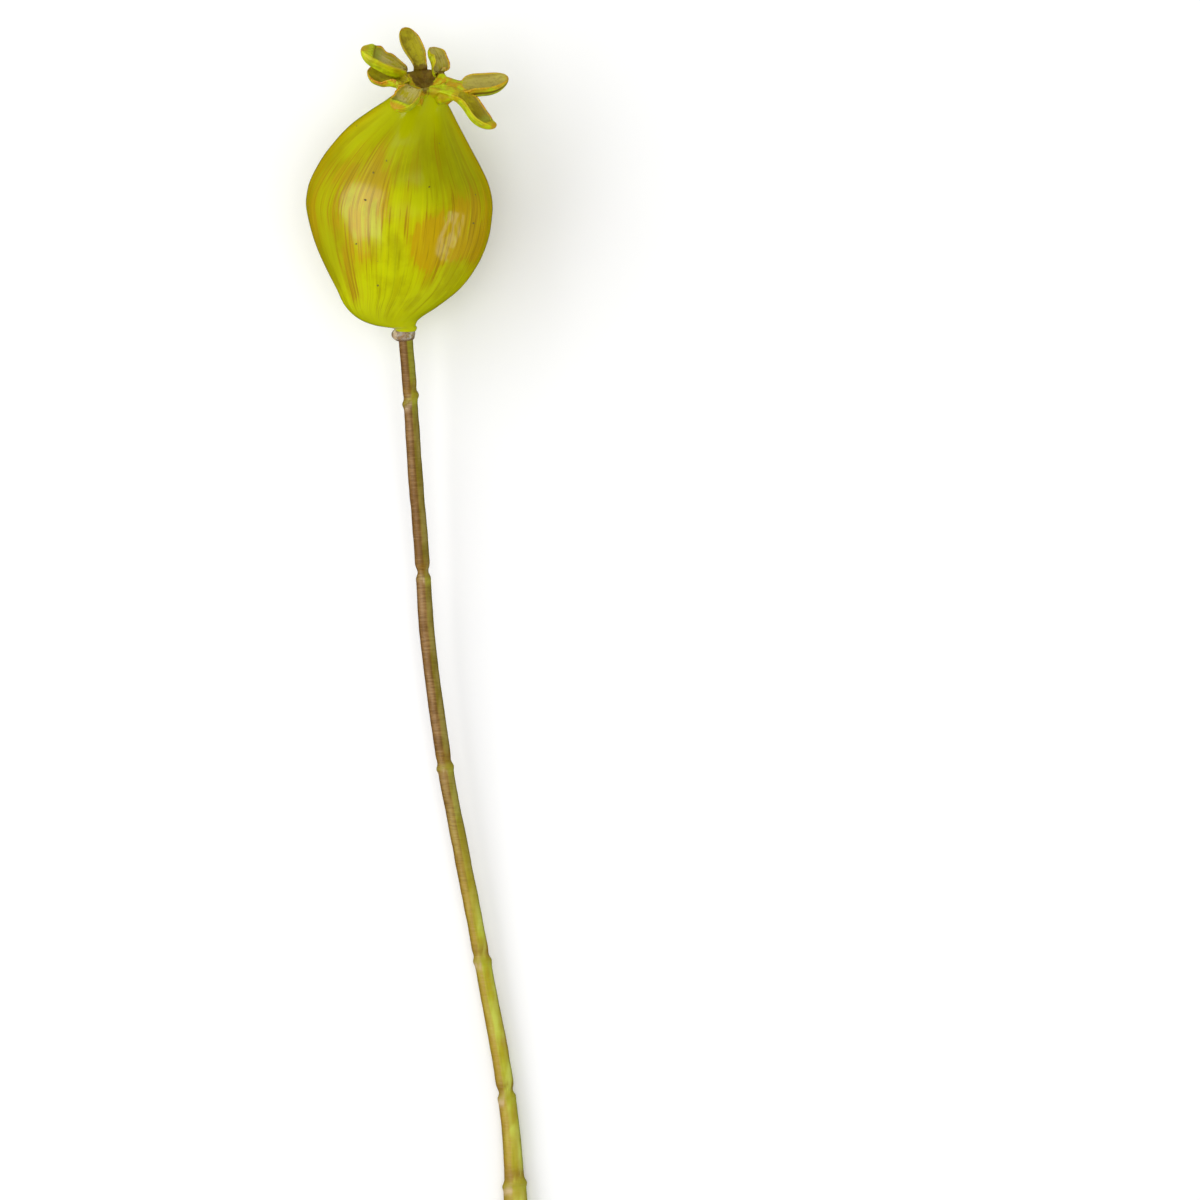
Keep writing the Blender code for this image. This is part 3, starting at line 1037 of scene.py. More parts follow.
    def paint_values(self, angles: Array, along: Array) -> dict[str, Array]:
        """Attributes that the paint reads.

        Args:
            angles: degrees round the pod.
            along: places along the pod.

        Returns:
            One array for each attribute.
        """
        leaning = np.radians(angles) + np.radians(self.lean) * along
        brush = np.column_stack([np.cos(leaning), np.sin(leaning), along / self.wrap])
        paint = sum(patch.cover(angles, along) for patch in self.strokes)
        shade = sum(patch.cover(angles, along) for patch in self.shades)
        ends = self.stroked.cover(along)
        flank = np.exp(-((np.sin(np.radians(angles)) / self.flank_width) ** 2))
        values = {
            "brush": brush,
            "paint": np.clip(paint, -0.8, 1.3) * ends,
            # painted shade, partly olive paint
            "shade": np.clip(shade, 0.0, 1.0),
            "body": self.painted.cover(along),
            # warm paint and a painted rim reflection on both flanks
            "warm_paint_and_rim_sheen": flank * ends,
            "along": along,
        }
        return {name: self.capped(column) for name, column in values.items()}

    def build(self, shift: Array) -> bpy.types.Object:
        """Make the pod.

        Args:
            shift: how far the fixed frame lies from the sizes' own origin.

        Returns:
            The pod's object, which stands for the node pod.
        """
        rows, radius = self.rows()
        along = np.repeat(rows, self.sides)
        angles = np.tile(360.0 * np.arange(self.sides) / self.sides, self.rings)
        full = np.repeat(radius[:, None], self.sides, axis=1) + self.unevenness(
            angles, along).reshape(self.rings, self.sides)
        base, top = self.axis(rows[0])[0], self.axis(rows[-1] - self.neck_hollow)[0]
        points = np.vstack([self.grid(rows, full), base[None, :], top[None, :]]) + shift
        count = self.rings * self.sides
        last = count - self.sides
        faces = tube_faces(self.rings, self.sides)
        for side in range(self.sides):
            beside = (side + 1) % self.sides
            faces.append((side, count, beside))
            faces.append((last + side, last + beside, count + 1))
        piece = make_piece("painted_pod", points, faces, self.finish.material(),
                           self.paint_values(angles, along))
        face_outwards(piece)
        settle(piece, "pod")
        return piece

    @staticmethod
    def capped(column: Array) -> Array:
        """The column with two more rows, for the middles of both ends."""
        return np.concatenate([column, column[:1], column[-1:]])


@dataclass(frozen=True)
class Lobe:
    """One lobe of the crown: a stalk that opens into a boat-shaped blade."""

    azimuth: float                # degrees round the hub; 0 is its right side and 90 the far side
    route: tuple[Point, ...]      # points of the middle line after the root, from the hub's centre
    looks: Point                  # the way the blade's hollow face looks
    stalk: float                  # width of the stalk
    blade: float                  # width of the blade
    rim: float                    # how far the rims stand above the hollow
    hull: float                   # thickness from the hollow to the bottom of the hull
    lip: float                    # thickness of the rims
    opens: float                  # how far along its length the stalk opens into the hollow
    shuts: float                  # how far along its length the hollow ends
    spread: tuple[float, float]   # where along its length the blade starts and ends widening
    dust_sheen: float                  # share of grey-beige dust and painted sheen on the face
    golden: float                 # share of golden stains on the hull
    bark: float                   # share of brown at the root
    worn_side: float              # -1, 1 or 0: which long edge is worn to rust
    ruffle: float                 # height of the waves in the worn edge
    seed: int


@dataclass
class Skin:
    """A mesh on its way: blocks of points with their attributes, and faces."""

    points: list[Array] = field(default_factory=list)
    values: list[dict[str, Array]] = field(default_factory=list)
    faces: list[tuple[int, ...]] = field(default_factory=list)
    count: int = 0

    def add(self, points: Array, values: dict[str, Array]) -> int:
        """Add a block of points.

        Args:
            points: the points, one row each.
            values: attributes by name, with one number for each point.

        Returns:
            The number of the block's first vertex.
        """
        first = self.count
        self.points.append(points)
        self.values.append(values)
        self.count += len(points)
        return first


@dataclass(frozen=True)
class Root:
    """Where the first loop of a lobe lies among the crown's vertices."""

    first: int        # number of its first vertex
    across: int       # vertices across its face
    lip: int          # vertices round each of its rims

    def top(self) -> list[int]:
        """Vertices of the face, from one rim to the other."""
        return list(range(self.first, self.first + self.across))

    def bottom(self) -> list[int]:
        """Vertices of the hull, in the order of the face's."""
        start = self.first + self.across + self.lip
        return list(range(start, start + self.across))[::-1]

    def far_side(self) -> list[int]:
        """Vertices down the rim beside the next lobe."""
        last = self.top()[-1]
        return [*range(last, last + self.lip + 1), self.bottom()[-1]]

    def near_side(self) -> list[int]:
        """Vertices down the rim beside the lobe before."""
        loop_end = self.first + 2 * (self.across + self.lip) - 1
        return [self.first, *(loop_end - step for step in range(self.lip)), self.bottom()[0]]


@dataclass
class Crown:
    """The star on the neck: a dished hub and its lobes in one skin."""

    finish: CrownPaint
    hub_radius: float = 5.0
    hub_height: float = 1.4       # hub's rim above the neck's top in the fixed frame
    hub_depth: float = 3.2
    hub_dish: float = 1.7
    pit_width: float = 1.7        # half width of the hub's brown pit
    pit_front: float = 1.7        # how far the pit reaches towards the near side
    root_half_angle: float = 17.0
    sections: int = 52
    columns: int = 24
    lip_points: int = 3
    swell: float = 0.20           # how far the hull stands out beyond its rims
    tip_start: float = 0.64
    web: float = 1.3              # how much deeper the lobes are at their roots
    last_turn: float = 0.485      # part of a half turn that spaces the loops towards the tip
    hub_belly: float = 0.3        # how far the hub's underside stands out below the roots
    hub_gold: float = 0.8         # share of golden stains on the hub
    hub_lumps: Waves = Waves(0.26, 1.1, 31)
    hub_shares: tuple[float, ...] = (0.93, 0.84, 0.74, 0.63, 0.52, 0.41, 0.30, 0.19, 0.08)
    root_groove: float = 0.35     # how far the middle of a root lies below its rims
    root_inset: float = 0.94      # how far in the roots' undersides lie
    reach: float = 0.015          # step along a lobe over which its direction is measured
    opening: float = 0.28         # part of a lobe's length over which its stalk opens
    shutting: float = 0.08        # part of its length over which the hollow ends
    web_end: float = 0.33         # part of its length that the root's extra depth takes
    taper: float = 0.25           # how much thinner the hull is at the tip
    least_rim: float = 0.1        # height of the rims where the stalk is closed
    blunt: float = 2.3            # how blunt the tips are
    bowl: float = 2.2             # how flat the hollow's floor is
    shut_height: float = 0.4      # how far the face swells where the hollow ends
    stalk_ridge: float = 0.45     # height of the ridge on a closed stalk
    rim_bead: float = 0.12        # height of the bead inside each rim
    mid_vein: float = 0.07        # height of the vein in the hollow
    keel_waves: float = 0.06      # height of the long waves in the hull
    last_open: float = 0.9        # a hollow that ends beyond this runs to the tip
    lobes: tuple[Lobe, ...] = (
        Lobe(azimuth=-12.0, seed=1,
             route=((7.8, -1.4, 1.6), (10.6, -1.2, 1.4), (14.8, -0.9, 1.0), (18.9, 0.0, 0.8)),
             looks=(0.05, 0.76, 0.65), stalk=4.3, blade=5.3, rim=1.0, hull=3.0, lip=0.50,
             opens=0.28, shuts=1.0, spread=(0.15, 0.45), dust_sheen=0.55, golden=0.8, bark=0.15,
             worn_side=0.0, ruffle=0.06),
        Lobe(azimuth=50.0, seed=2,
             route=((2.7, 2.0, -3.9), (2.8, 3.4, -5.0), (2.4, 5.0, -6.2), (0.8, 7.2, -7.2)),
             looks=(0.72, 0.20, 0.66), stalk=2.5, blade=5.0, rim=1.4, hull=1.2, lip=0.45,
             opens=0.0, shuts=1.0, spread=(0.2, 0.6), dust_sheen=0.7, golden=0.3, bark=0.5,
             worn_side=1.0, ruffle=0.12),
        Lobe(azimuth=102.0, seed=3,
             route=((-1.2, 3.4, -4.4), (-2.0, 5.9, -6.0), (-3.6, 9.2, -7.6), (-5.1, 12.1, -8.4)),
             looks=(0.1, 0.64, 0.76), stalk=2.9, blade=4.7, rim=0.5, hull=0.9, lip=0.40, opens=0.0,
             shuts=1.0, spread=(0.25, 0.68), dust_sheen=0.05, golden=0.4, bark=1.0, worn_side=1.0,
             ruffle=0.03),
        Lobe(azimuth=154.0, seed=4,
             route=((-5.2, 2.0, -1.4), (-8.2, 3.6, 0.0), (-11.4, 5.1, 1.0), (-14.6, 6.4, 1.4)),
             looks=(0.05, 0.85, 0.52), stalk=3.0, blade=6.2, rim=1.2, hull=2.5, lip=1.00,
             opens=0.0, shuts=0.78, spread=(0.1, 0.6), dust_sheen=0.9, golden=0.15, bark=0.6,
             worn_side=1.0, ruffle=0.15),
        Lobe(azimuth=206.0, seed=5,
             route=((-5.6, 0.0, 0.9), (-8.0, 0.4, -1.4), (-10.5, 1.0, -2.3), (-12.9, 2.3, -2.8)),
             looks=(0.2, 0.58, 0.79), stalk=3.0, blade=4.9, rim=0.8, hull=1.7, lip=0.50,
             opens=0.04, shuts=1.0, spread=(0.15, 0.57), dust_sheen=0.05, golden=0.6, bark=0.4,
             worn_side=-1.0, ruffle=0.06),
        Lobe(azimuth=252.0, seed=6,
             route=((-2.6, -2.8, 5.4), (-3.7, -4.3, 7.0), (-5.0, -5.9, 8.2), (-6.5, -7.5, 10.1)),
             looks=(-0.1, 0.66, 0.74), stalk=3.8, blade=5.4, rim=1.2, hull=2.1, lip=0.60,
             opens=0.0, shuts=0.80, spread=(0.1, 0.5), dust_sheen=0.85, golden=0.8, bark=0.42,
             worn_side=1.0, ruffle=0.10),
        Lobe(azimuth=312.0, seed=7,
             route=((7.4, -3.0, 4.0), (9.9, -5.4, 5.6), (12.4, -9.0, 6.8), (15.7, -11.6, 8.6)),
             looks=(0.50, 0.58, 0.64), stalk=3.7, blade=4.6, rim=1.2, hull=1.9, lip=0.50,
             opens=0.26, shuts=0.88, spread=(0.15, 0.57), dust_sheen=0.0, golden=0.5, bark=0.15,
             worn_side=-1.0, ruffle=0.24),
    )

    def place(self, pod: Pod) -> None:
        """Take the hub's centre and directions from the pod's neck.

        Args:
            pod: the pod that carries the crown.
        """
        neck = pod.stations[-1][0]
        self.normal = pod.direction(neck)[0]
        self.right = np.array([1.0, 0.0, 0.0])
        self.back = np.cross(self.normal, self.right)
        self.centre = pod.axis(neck)[0] + self.normal * self.hub_height

    def rim_point(self, degrees: Array | float, radius: float) -> Array:
        """Points on a circle round the hub, from its centre."""
        turn = np.radians(np.atleast_1d(degrees))[:, None]
        return radius * (np.cos(turn) * self.right + np.sin(turn) * self.back)

    def across_places(self) -> Array:
        """Places across a lobe from 1 to -1, crowded towards the rims."""
        return np.cos(math.pi * np.arange(self.columns + 1) / self.columns)

    def loop(self, upper: Array, lower: Array) -> Array:
        """Closed loop of points round a lobe, whose rims are rounded.

        Args:
            upper: points of the hollow face, from one rim to the other.
            lower: points of the hull, in the same order.

        Returns:
            The face, one rounded rim, the hull backwards and the other rounded rim.
        """
        first = self.rounded(upper[-1], lower[-1], upper[-1] - upper[-3])
        second = self.rounded(lower[0], upper[0], upper[0] - upper[2])
        return np.vstack([upper, first, lower[::-1], second])

    def rounded(self, start: Array, end: Array, outwards: Array) -> Array:
        """Points of a half circle between start and end that bulges outwards.

        Args:
            start: where the half circle starts.
            end: where it ends.
            outwards: the way it bulges, with any length above 0.

        Returns:
            The points between start and end.
        """
        span = (start - end) / 2
        length = float(np.linalg.norm(span))
        turns = math.pi * np.arange(1, self.lip_points + 1) / (self.lip_points + 1)
        bulge = outwards / max(float(np.linalg.norm(outwards)), 1e-9) * length * 0.8
        return ((start + end) / 2 + np.cos(turns)[:, None] * span
                + np.sin(turns)[:, None] * bulge)

    def loop_values(self, lobe: Lobe, share: float, places: Array) -> dict[str, Array]:
        """Attributes of one loop's points.

        Args:
            lobe: the lobe.
            share: how far along the lobe the loop lies.
            places: places across the lobe.

        Returns:
            One array for each attribute.
        """
        count, extra = len(places), self.lip_points
        hollow = ease((lobe.shuts - share - 0.08 * places**2) / 0.05 + 1)
        if lobe.opens:
            hollow = hollow * ease((share - lobe.opens - 0.10 * places**2) / 0.05)
        fading = np.linspace(1.0, 0.0, extra + 2)[1:-1]
        face = np.concatenate([hollow, fading * hollow[-1], np.zeros(count),
                               fading[::-1] * hollow[0]])
        across = np.concatenate([places, np.full(extra, -1.0), places[::-1], np.full(extra, 1.0)])
        total = len(across)
        on_top = (np.arange(total) < count) * 1.0
        shuts_early = lobe.shuts < self.last_open
        near_edge = np.where(face > 0, ease((np.abs(across) - 0.88) / 0.10),
                             ease((np.abs(across) - 0.975) / 0.02))
        near_tip = float(ease((share - 0.93) / 0.06))
        if lobe.worn_side:
            on_side = ease(across * lobe.worn_side * 2)
        else:
            on_side = np.full(total, 0.5)
        worn = np.maximum(near_edge * np.maximum(on_side, 0.12), near_tip * 0.5)
        worn = worn * np.where(face > 0, 1.0, 0.5) * float(ease((share - 0.05) / 0.12))
        return {
            "face": face,
            "across": across,
            "along": np.full(total, share),
            "dust_sheen": np.full(total, lobe.dust_sheen),
            "golden": np.full(total, lobe.golden),
            "worn": worn,
            "bark": lobe.bark * float(ease(1 - share / 0.42)) * np.where(face > 0, 1.0, 0.3),
            "ending": face * float(ease((share - lobe.shuts) / 0.10 + 1.8)) * shuts_early,
            "crease": on_top * math.exp(-(((share - lobe.shuts) / 0.022) ** 2)) * shuts_early,
            "curl": on_top * float(ease((share - lobe.shuts) / 0.05)) * lobe.golden,
            # how much rim paint and painted highlight each side of the lobe carries
            "rim_paint_and_shine": np.full(total, 0.8) if not lobe.worn_side else np.maximum(on_side, 0.3),
            # how much painted shade lies in the groove under the rim
            "groove_shade": np.full(total, 0.25 if lobe.worn_side else 1.0),
        }

    def root(self, lobe: Lobe) -> Array:
        """First loop of a lobe, on the hub's rim.

        Args:
            lobe: the lobe.

        Returns:
            The loop's points.
        """
        places = self.across_places()
        degrees = lobe.azimuth - places * self.root_half_angle
        groove = self.root_groove * np.abs(places[:, None]) ** 2 * self.normal
        upper = self.centre + self.rim_point(degrees, self.hub_radius) + groove
        lower = (self.centre + self.rim_point(degrees, self.hub_radius * self.root_inset)
                 - self.normal * self.hub_depth)
        return self.loop(upper, lower)

    def blade(self, lobe: Lobe, share: float, rows: list[tuple[float, ...]]) -> Array:
        """One loop of a lobe.

        Args:
            lobe: the lobe.
            share: how far along the lobe the loop lies.
            rows: the lobe's middle line.

        Returns:
            The loop's points.
        """
        behind, here, ahead = smooth(rows, [share - self.reach, share, share + self.reach])
        tangent = unit(ahead - behind)
        blend = float(ease(2 * share))
        look = unit(self.normal * (1 - blend) + unit(lobe.looks) * blend)
        across = unit(np.cross(tangent, look))
        look = np.cross(across, tangent)
        places = self.across_places()
        sink = np.sin(math.pi * np.arange(self.columns + 1) / self.columns)
        opened = float(ease((share - lobe.opens) / self.opening))
        start, end = lobe.spread
        widening = float(ease((share - start) / (end - start)))
        width = lobe.stalk + (lobe.blade - lobe.stalk) * widening
        past = max(share - self.tip_start, 0.0) / (1 - self.tip_start)
        width *= math.sqrt(max(1 - past**self.blunt, 0.0))
        closing = past**2.2
        shut = float(ease((share - lobe.shuts) / self.shutting + 0.5))
        filled = max(closing, shut)
        bowl = np.abs(places) ** self.bowl
        edge = lobe.rim * opened + self.least_rim
        hollow = edge * (bowl + (1 - bowl) * filled)
        hollow = hollow + self.shut_height * (1 - places**2) * shut * (1 - closing)
        ridge = self.stalk_ridge * (1 - places**2) * (1 - opened) * float(ease(share / 0.15))
        bead = self.rim_bead * np.exp(-(((np.abs(places) - 0.92) / 0.06) ** 2)) * opened
        vein = self.mid_vein * np.exp(-((places / 0.10) ** 2)) * opened * (1 - filled)
        wave_at = np.array([[share * 9.0 + lobe.seed * 5.3, 0.0]])
        wave = float(ripples(wave_at, 1.7, lobe.seed)[0])
        side = lobe.worn_side or 1.0
        ruffle = lobe.ruffle * wave * ease((places * side - 0.3) / 0.6) * opened
        half = width / 2 * (1 + 0.5 * lobe.ruffle * wave * np.maximum(places * side, 0))
        level, rounding = 0.5 * edge, math.sqrt(max(1 - past**4, 0.0))
        upper = level + (hollow + ridge + bead + vein + ruffle - level) * rounding
        top = self.centre + here + across * (places * half)[:, None] + look * upper[:, None]
        web = 1 + self.web * float(ease(1 - share / self.web_end)) ** 1.5
        depth = lobe.hull * web * (1 - self.taper * share) * (1 - 0.5 * closing)
        under = edge - lobe.lip
        keel = under - (under + depth) * sink**0.85
        keel = keel + self.keel_waves * np.cos(math.pi * 3 * places) * sink * opened
        wide = half * (1 + self.swell * sink * (1 - 0.5 * closing))
        lower = level + (keel + ruffle * (1 - sink) - level) * rounding
        low = self.centre + here + across * (places * wide)[:, None] + look * lower[:, None]
        return self.loop(top, low)

    def hub_rings(self, outline: Array) -> tuple[Array, Array]:
        """Rings of the hub's hollow top, inside the outline of all the roots.

        Args:
            outline: the roots' upper points round the hub.

        Returns:
            The rings' points and how brown each is, from 0 to 1.
        """
        points, browns = [], []
        rim = outline - self.centre
        for share in self.hub_shares:
            flat = rim - (rim @ self.normal)[:, None] * self.normal
            ridge = (rim @ self.normal) * share
            grain = self.hub_lumps.at(flat * share) * (1 - abs(2 * share - 1))
            sink = -self.hub_dish * (1 - share**1.6)
            points.append(self.centre + flat * share
                          + self.normal * (ridge + sink + grain)[:, None])
            sideways, depth = flat @ self.right * share, flat @ self.back * share
            inside = (self.pit_width + 0.45 * depth - np.abs(sideways + 0.4)) / 1.6
            browns.append(ease(inside + 0.5) * ease((depth + self.pit_front) / 1.4 + 0.5))
        return np.vstack(points), np.concatenate(browns)

    def add_lobe(self, skin: Skin, lobe: Lobe) -> Root:
        """Add a lobe: its loops from root to tip, and a point that closes the tip.

        Args:
            skin: the crown's skin so far.
            lobe: the lobe.

        Returns:
            The vertices of the lobe's first loop that its neighbours and the hub join on to.
        """
        places = self.across_places()
        size = 2 * (self.columns + 1 + self.lip_points)
        start = self.rim_point(lobe.azimuth, self.hub_radius)[0]
        spine = [start, *(np.array(point) for point in lobe.route)]
        rows = [(index / len(lobe.route), *point) for index, point in enumerate(spine)]
        shares = np.sin(self.last_turn * math.pi * np.arange(self.sections) / (self.sections - 1))
        loops = [self.root(lobe)] + [self.blade(lobe, share, rows) for share in shares[1:]]
        first = skin.count
        for share, loop in zip(shares, loops):
            last = skin.add(loop, self.loop_values(lobe, float(share), places))
        tip_values = {key: column[:1] for key, column in skin.values[-1].items()}
        end = skin.add(loops[-1].mean(axis=0)[None, :], tip_values)
        skin.faces += tube_faces(self.sections, size, first)
        skin.faces += fan_faces(list(range(last, end)), end)
        return Root(first, len(places), self.lip_points)

    def add_gaps(self, skin: Skin, roots: list[Root]) -> None:
        """Close the gaps between the roots of neighbouring lobes.

        Args:
            skin: the crown's skin so far.
            roots: the lobes' roots, in their order round the hub.
        """
        for index, root in enumerate(roots):
            here, there = root.far_side(), roots[(index + 1) % len(roots)].near_side()
            for step in range(self.lip_points + 1):
                skin.faces.append((here[step], there[step], there[step + 1], here[step + 1]))

    def add_hub(self, skin: Skin, roots: list[Root]) -> None:
        """Add the hub's dished top and its underside.

        Args:
            skin: the crown's skin so far.
            roots: the lobes' roots, in their order round the hub.
        """
        upper_rim = [vertex for root in roots for vertex in root.top()]
        lower_rim = [vertex for root in roots for vertex in root.bottom()]
        around = len(upper_rim)
        rings, browns = self.hub_rings(np.vstack(skin.points)[upper_rim])
        middle = self.centre - self.normal * self.hub_dish
        under = self.centre - self.normal * (self.hub_depth + self.hub_belly)
        values = {key: np.zeros(len(rings) + 2) for key in skin.values[0]}
        values["golden"][:] = self.hub_gold
        values["bark"][: len(rings)] = browns
        values["bark"][len(rings)] = 1.0
        first = skin.add(np.vstack([rings, middle[None, :], under[None, :]]), values)
        hub_middle, hub_under = skin.count - 2, skin.count - 1
        for side in range(around):
            beside = (side + 1) % around
            skin.faces.append((upper_rim[side], upper_rim[beside], first + beside, first + side))
            skin.faces.append((lower_rim[side], hub_under, lower_rim[beside]))
        skin.faces += tube_faces(len(rings) // around, around, first)
        skin.faces += fan_faces(list(range(hub_middle - around, hub_middle)), hub_middle)

    def build(self, shift: Array) -> bpy.types.Object:
        """Make the crown.

        Args:
            shift: how far the fixed frame lies from the sizes' own origin.

        Returns:
            The crown's object, which stands for the node crown.
        """
        skin = Skin()
        roots = [self.add_lobe(skin, lobe) for lobe in self.lobes]
        self.add_gaps(skin, roots)
        self.add_hub(skin, roots)
        columns = {key: np.concatenate([block[key] for block in skin.values])
                   for key in skin.values[0]}
        piece = make_piece("star_crown", np.vstack(skin.points) + shift, skin.faces,
                           self.finish.material(), columns)
        close_and_turn(piece)
        settle(piece, "crown")
        return piece


@dataclass(frozen=True)
class Joint:
    """A ring-shaped joint moulded into the stem's skin."""

    y: float
    height: float
    pinch: float           # how far the skin draws in just above the ring
    skew: float            # how far the ring steps along the stem from one side to the other


@dataclass
class Stem:
    """The jointed stem: a ridged skin drawn along its middle line."""

    finish: StemPaint
    sides: int = 56
    step: float = 0.45
    fall: float = 1.9
    end_height: float = 2.7
    collar_drop: float = 0.35
    joint_width: float = 0.8
    tallest_ring: float = 0.42
    ridge: float = 0.07           # height of the long ridges
    top_ridge: tuple[float, float] = (0.08, 0.16)      # its place across, and its half width
    side_ridges: tuple[float, float] = (-0.15, 0.14)   # their height, and their half width
    ripple: float = 0.07          # height of the fine unevenness
    lump: float = 0.30            # height of the broad unevenness
    plan: tuple[tuple[float, float], ...] = (     # Y and X from the cut end to the collar
        (-137.0, 22.2),
        (-118.0, 21.2),
        (-101.5, 19.2),
        (-77.0, 14.7),
        (-52.0, 9.9),
        (-29.0, 5.6),
        (-1.0, 1.9),
        (16.0, 0.8),
        (37.5, -0.9),
        (56.5, -2.1),
        (67.6, -3.0),
    )
    radii: tuple[tuple[float, float], ...] = (
        (-137.0, 2.65),
        (-127.5, 2.6),
        (-122.0, 2.15),
        (-100.0, 2.0),
        (-60.0, 1.8),
        (20.0, 1.66),
        (67.6, 1.58),
    )
    joints: tuple[Joint, ...] = (
        Joint(52.4, 0.42, 0.14, 2.2),
        Joint(12.2, 0.12, 0.45, 0.3),
        Joint(-31.0, 0.34, 0.2, 0.8),
        Joint(-75.0, 0.30, 0.2, 0.4),
        Joint(-106.0, 0.22, 0.42, 0.8),
        Joint(-126.0, 0.36, 0.1, 1.0),
    )

    def place(self, pod: Pod) -> None:
        """Take the height of the stem's top from the pod's base."""
        base = float(pod.axis(pod.stations[0][0])[0][2])
        self.drop = base - self.collar_drop - self.end_height

    def point(self, y: Array | float) -> Array:
        """Middle line of the stem.

        Args:
            y: places along the frame's Y.

        Returns:
            One point for each place.
        """
        y = np.atleast_1d(np.asarray(y, float))
        low, high = self.plan[0][0], self.plan[-1][0]
        share = np.clip((y - low) / (high - low), 0, 1)
        height = self.end_height + self.drop * share**self.fall
        return np.column_stack([smooth(self.plan, y)[:, 0], y, height])

    def spine(self, shift: Array) -> bpy.types.Object:
        """The middle line as a curve whose radius is the skin's.

        Args:
            shift: how far the fixed frame lies from the sizes' own origin.

        Returns:
            A curve object with one straight-segment spline.
        """
        low, high = self.plan[0][0], self.plan[-1][0]
        count = round((high - low) / self.step) + 1
        places = np.linspace(low, high, count)
        points = (self.point(places) + shift) * MM
        curve = bpy.data.curves.new("stem_spine", "CURVE")
        curve.dimensions = "3D"
        spline = curve.splines.new("POLY")
        spline.points.add(count - 1)
        radii = smooth(self.radii, places)[:, 0] * MM
        for index, point in enumerate(spline.points):
            point.co = (*points[index], 1.0)
            point.radius = float(radii[index])
        return add_object("stem_spine", curve)

    def sizes(self) -> dict[str, float]:
        """The skin's sizes by the names of the tree's inputs."""
        return {"Joint Width": self.joint_width, "Ridge": self.ridge, "Ripple": self.ripple,
                "Lump": self.lump}

    def tree(self, shift_y: float, material: bpy.types.Material) -> bpy.types.NodeTree:
        """Geometry nodes that draw the skin along the spine and raise its joints.

        Args:
            shift_y: how far the fixed frame lies from the sizes' own origin along Y.
            material: the skin's finish.

        Returns:
            The node tree.
        """
        graph, enter = start_tree("stem_skin", self.sizes())
        width, ridge, ripple, lump = (Wire(graph, enter.outputs[name]) for name in self.sizes())
        circle = graph.node("GeometryNodeCurvePrimitiveCircle", {}, {
            "Resolution": self.sides, "Radius": 1.0})
        corner = graph.node("GeometryNodeInputPosition", {}, {})
        split = graph.node("ShaderNodeSeparateXYZ", {}, {0: corner.outputs[0]})
        capture = graph.node("GeometryNodeCaptureAttribute", {}, {0: circle.outputs[0]})
        capture.capture_items.new("FLOAT", "Across")
        capture.capture_items.new("FLOAT", "Up")
        graph.tree.links.new(split.outputs[0], capture.inputs[1])
        graph.tree.links.new(split.outputs[1], capture.inputs[2])
        skin = self.swept(graph, enter, capture)
        across = Wire(graph, capture.outputs[1])
        upward = Wire(graph, capture.outputs[2])
        position = graph.node("GeometryNodeInputPosition", {}, {})
        spot = graph.node("ShaderNodeSeparateXYZ", {}, {0: position.outputs[0]})
        along = Wire(graph, spot.outputs[1]) * (1 / MM) - shift_y
        height, above, below, on_ring = self.joint_heights(graph, along, across, width)
        top, sides = (
            graph.step(graph.math("ABSOLUTE", value - place), half, 0.0) * ridge
            for value, (place, half) in ((across, self.top_ridge), (upward, self.side_ridges)))
        height = height + top * graph.step(upward, -0.2, 0.3) + sides * 0.7
        place = Wire(graph, position.outputs[0])
        bumps = graph.noise(graph.stretched(place, (1, 0.5, 1)), 900.0, 2.0, 0.5) - 0.5
        lumps = graph.noise(graph.stretched(place, (1, 1, 1), (0.5, 0.2, 0.7)), 160.0, 1.0, 0.5)
        height = height + bumps * ripple + (lumps - 0.5) * lump
        normal = graph.node("GeometryNodeInputNormal", {}, {})
        body = graph.step(along, self.plan[0][0] + 0.02, self.plan[0][0] + 0.4)
        offset = graph.vector_math("SCALE", Wire(graph, normal.outputs[0]), height * body * MM)
        moved = graph.node("GeometryNodeSetPosition", {}, {0: skin, "Offset": offset})
        stored = moved.outputs[0]
        for name, value in (("around", across), ("along", along), ("above_joint", above),
                            ("below_joint", below), ("on_ring", on_ring)):
            store = graph.node("GeometryNodeStoreNamedAttribute", {
                "data_type": "FLOAT", "domain": "POINT"}, {0: stored, "Name": name,
                                                           "Value": value})
            stored = store.outputs[0]
        rounded = graph.node("GeometryNodeSetShadeSmooth", {}, {0: stored})
        return end_tree(graph, rounded.outputs[0], material)

    @staticmethod
    def swept(graph: Graph, enter: Any, profile: Any) -> Any:
        """Sweep the profile along the spine, sized by the spine's radius; ends are filled.

        Args:
            graph: the nodes that draw the skin.
            enter: the tree's input node, whose first output is the spine.
            profile: the node whose first output is the profile.

        Returns:
            The output that gives the swept mesh.
        """
        sweep = graph.node("GeometryNodeCurveToMesh", {}, {
            "Curve": enter.outputs["Geometry"], "Profile Curve": profile.outputs[0],
            "Fill Caps": True})
        if "Scale" in sweep.inputs:
            radius = graph.node("GeometryNodeInputRadius", {}, {})
            graph.tree.links.new(radius.outputs[0], sweep.inputs["Scale"])
        return sweep.outputs[0]

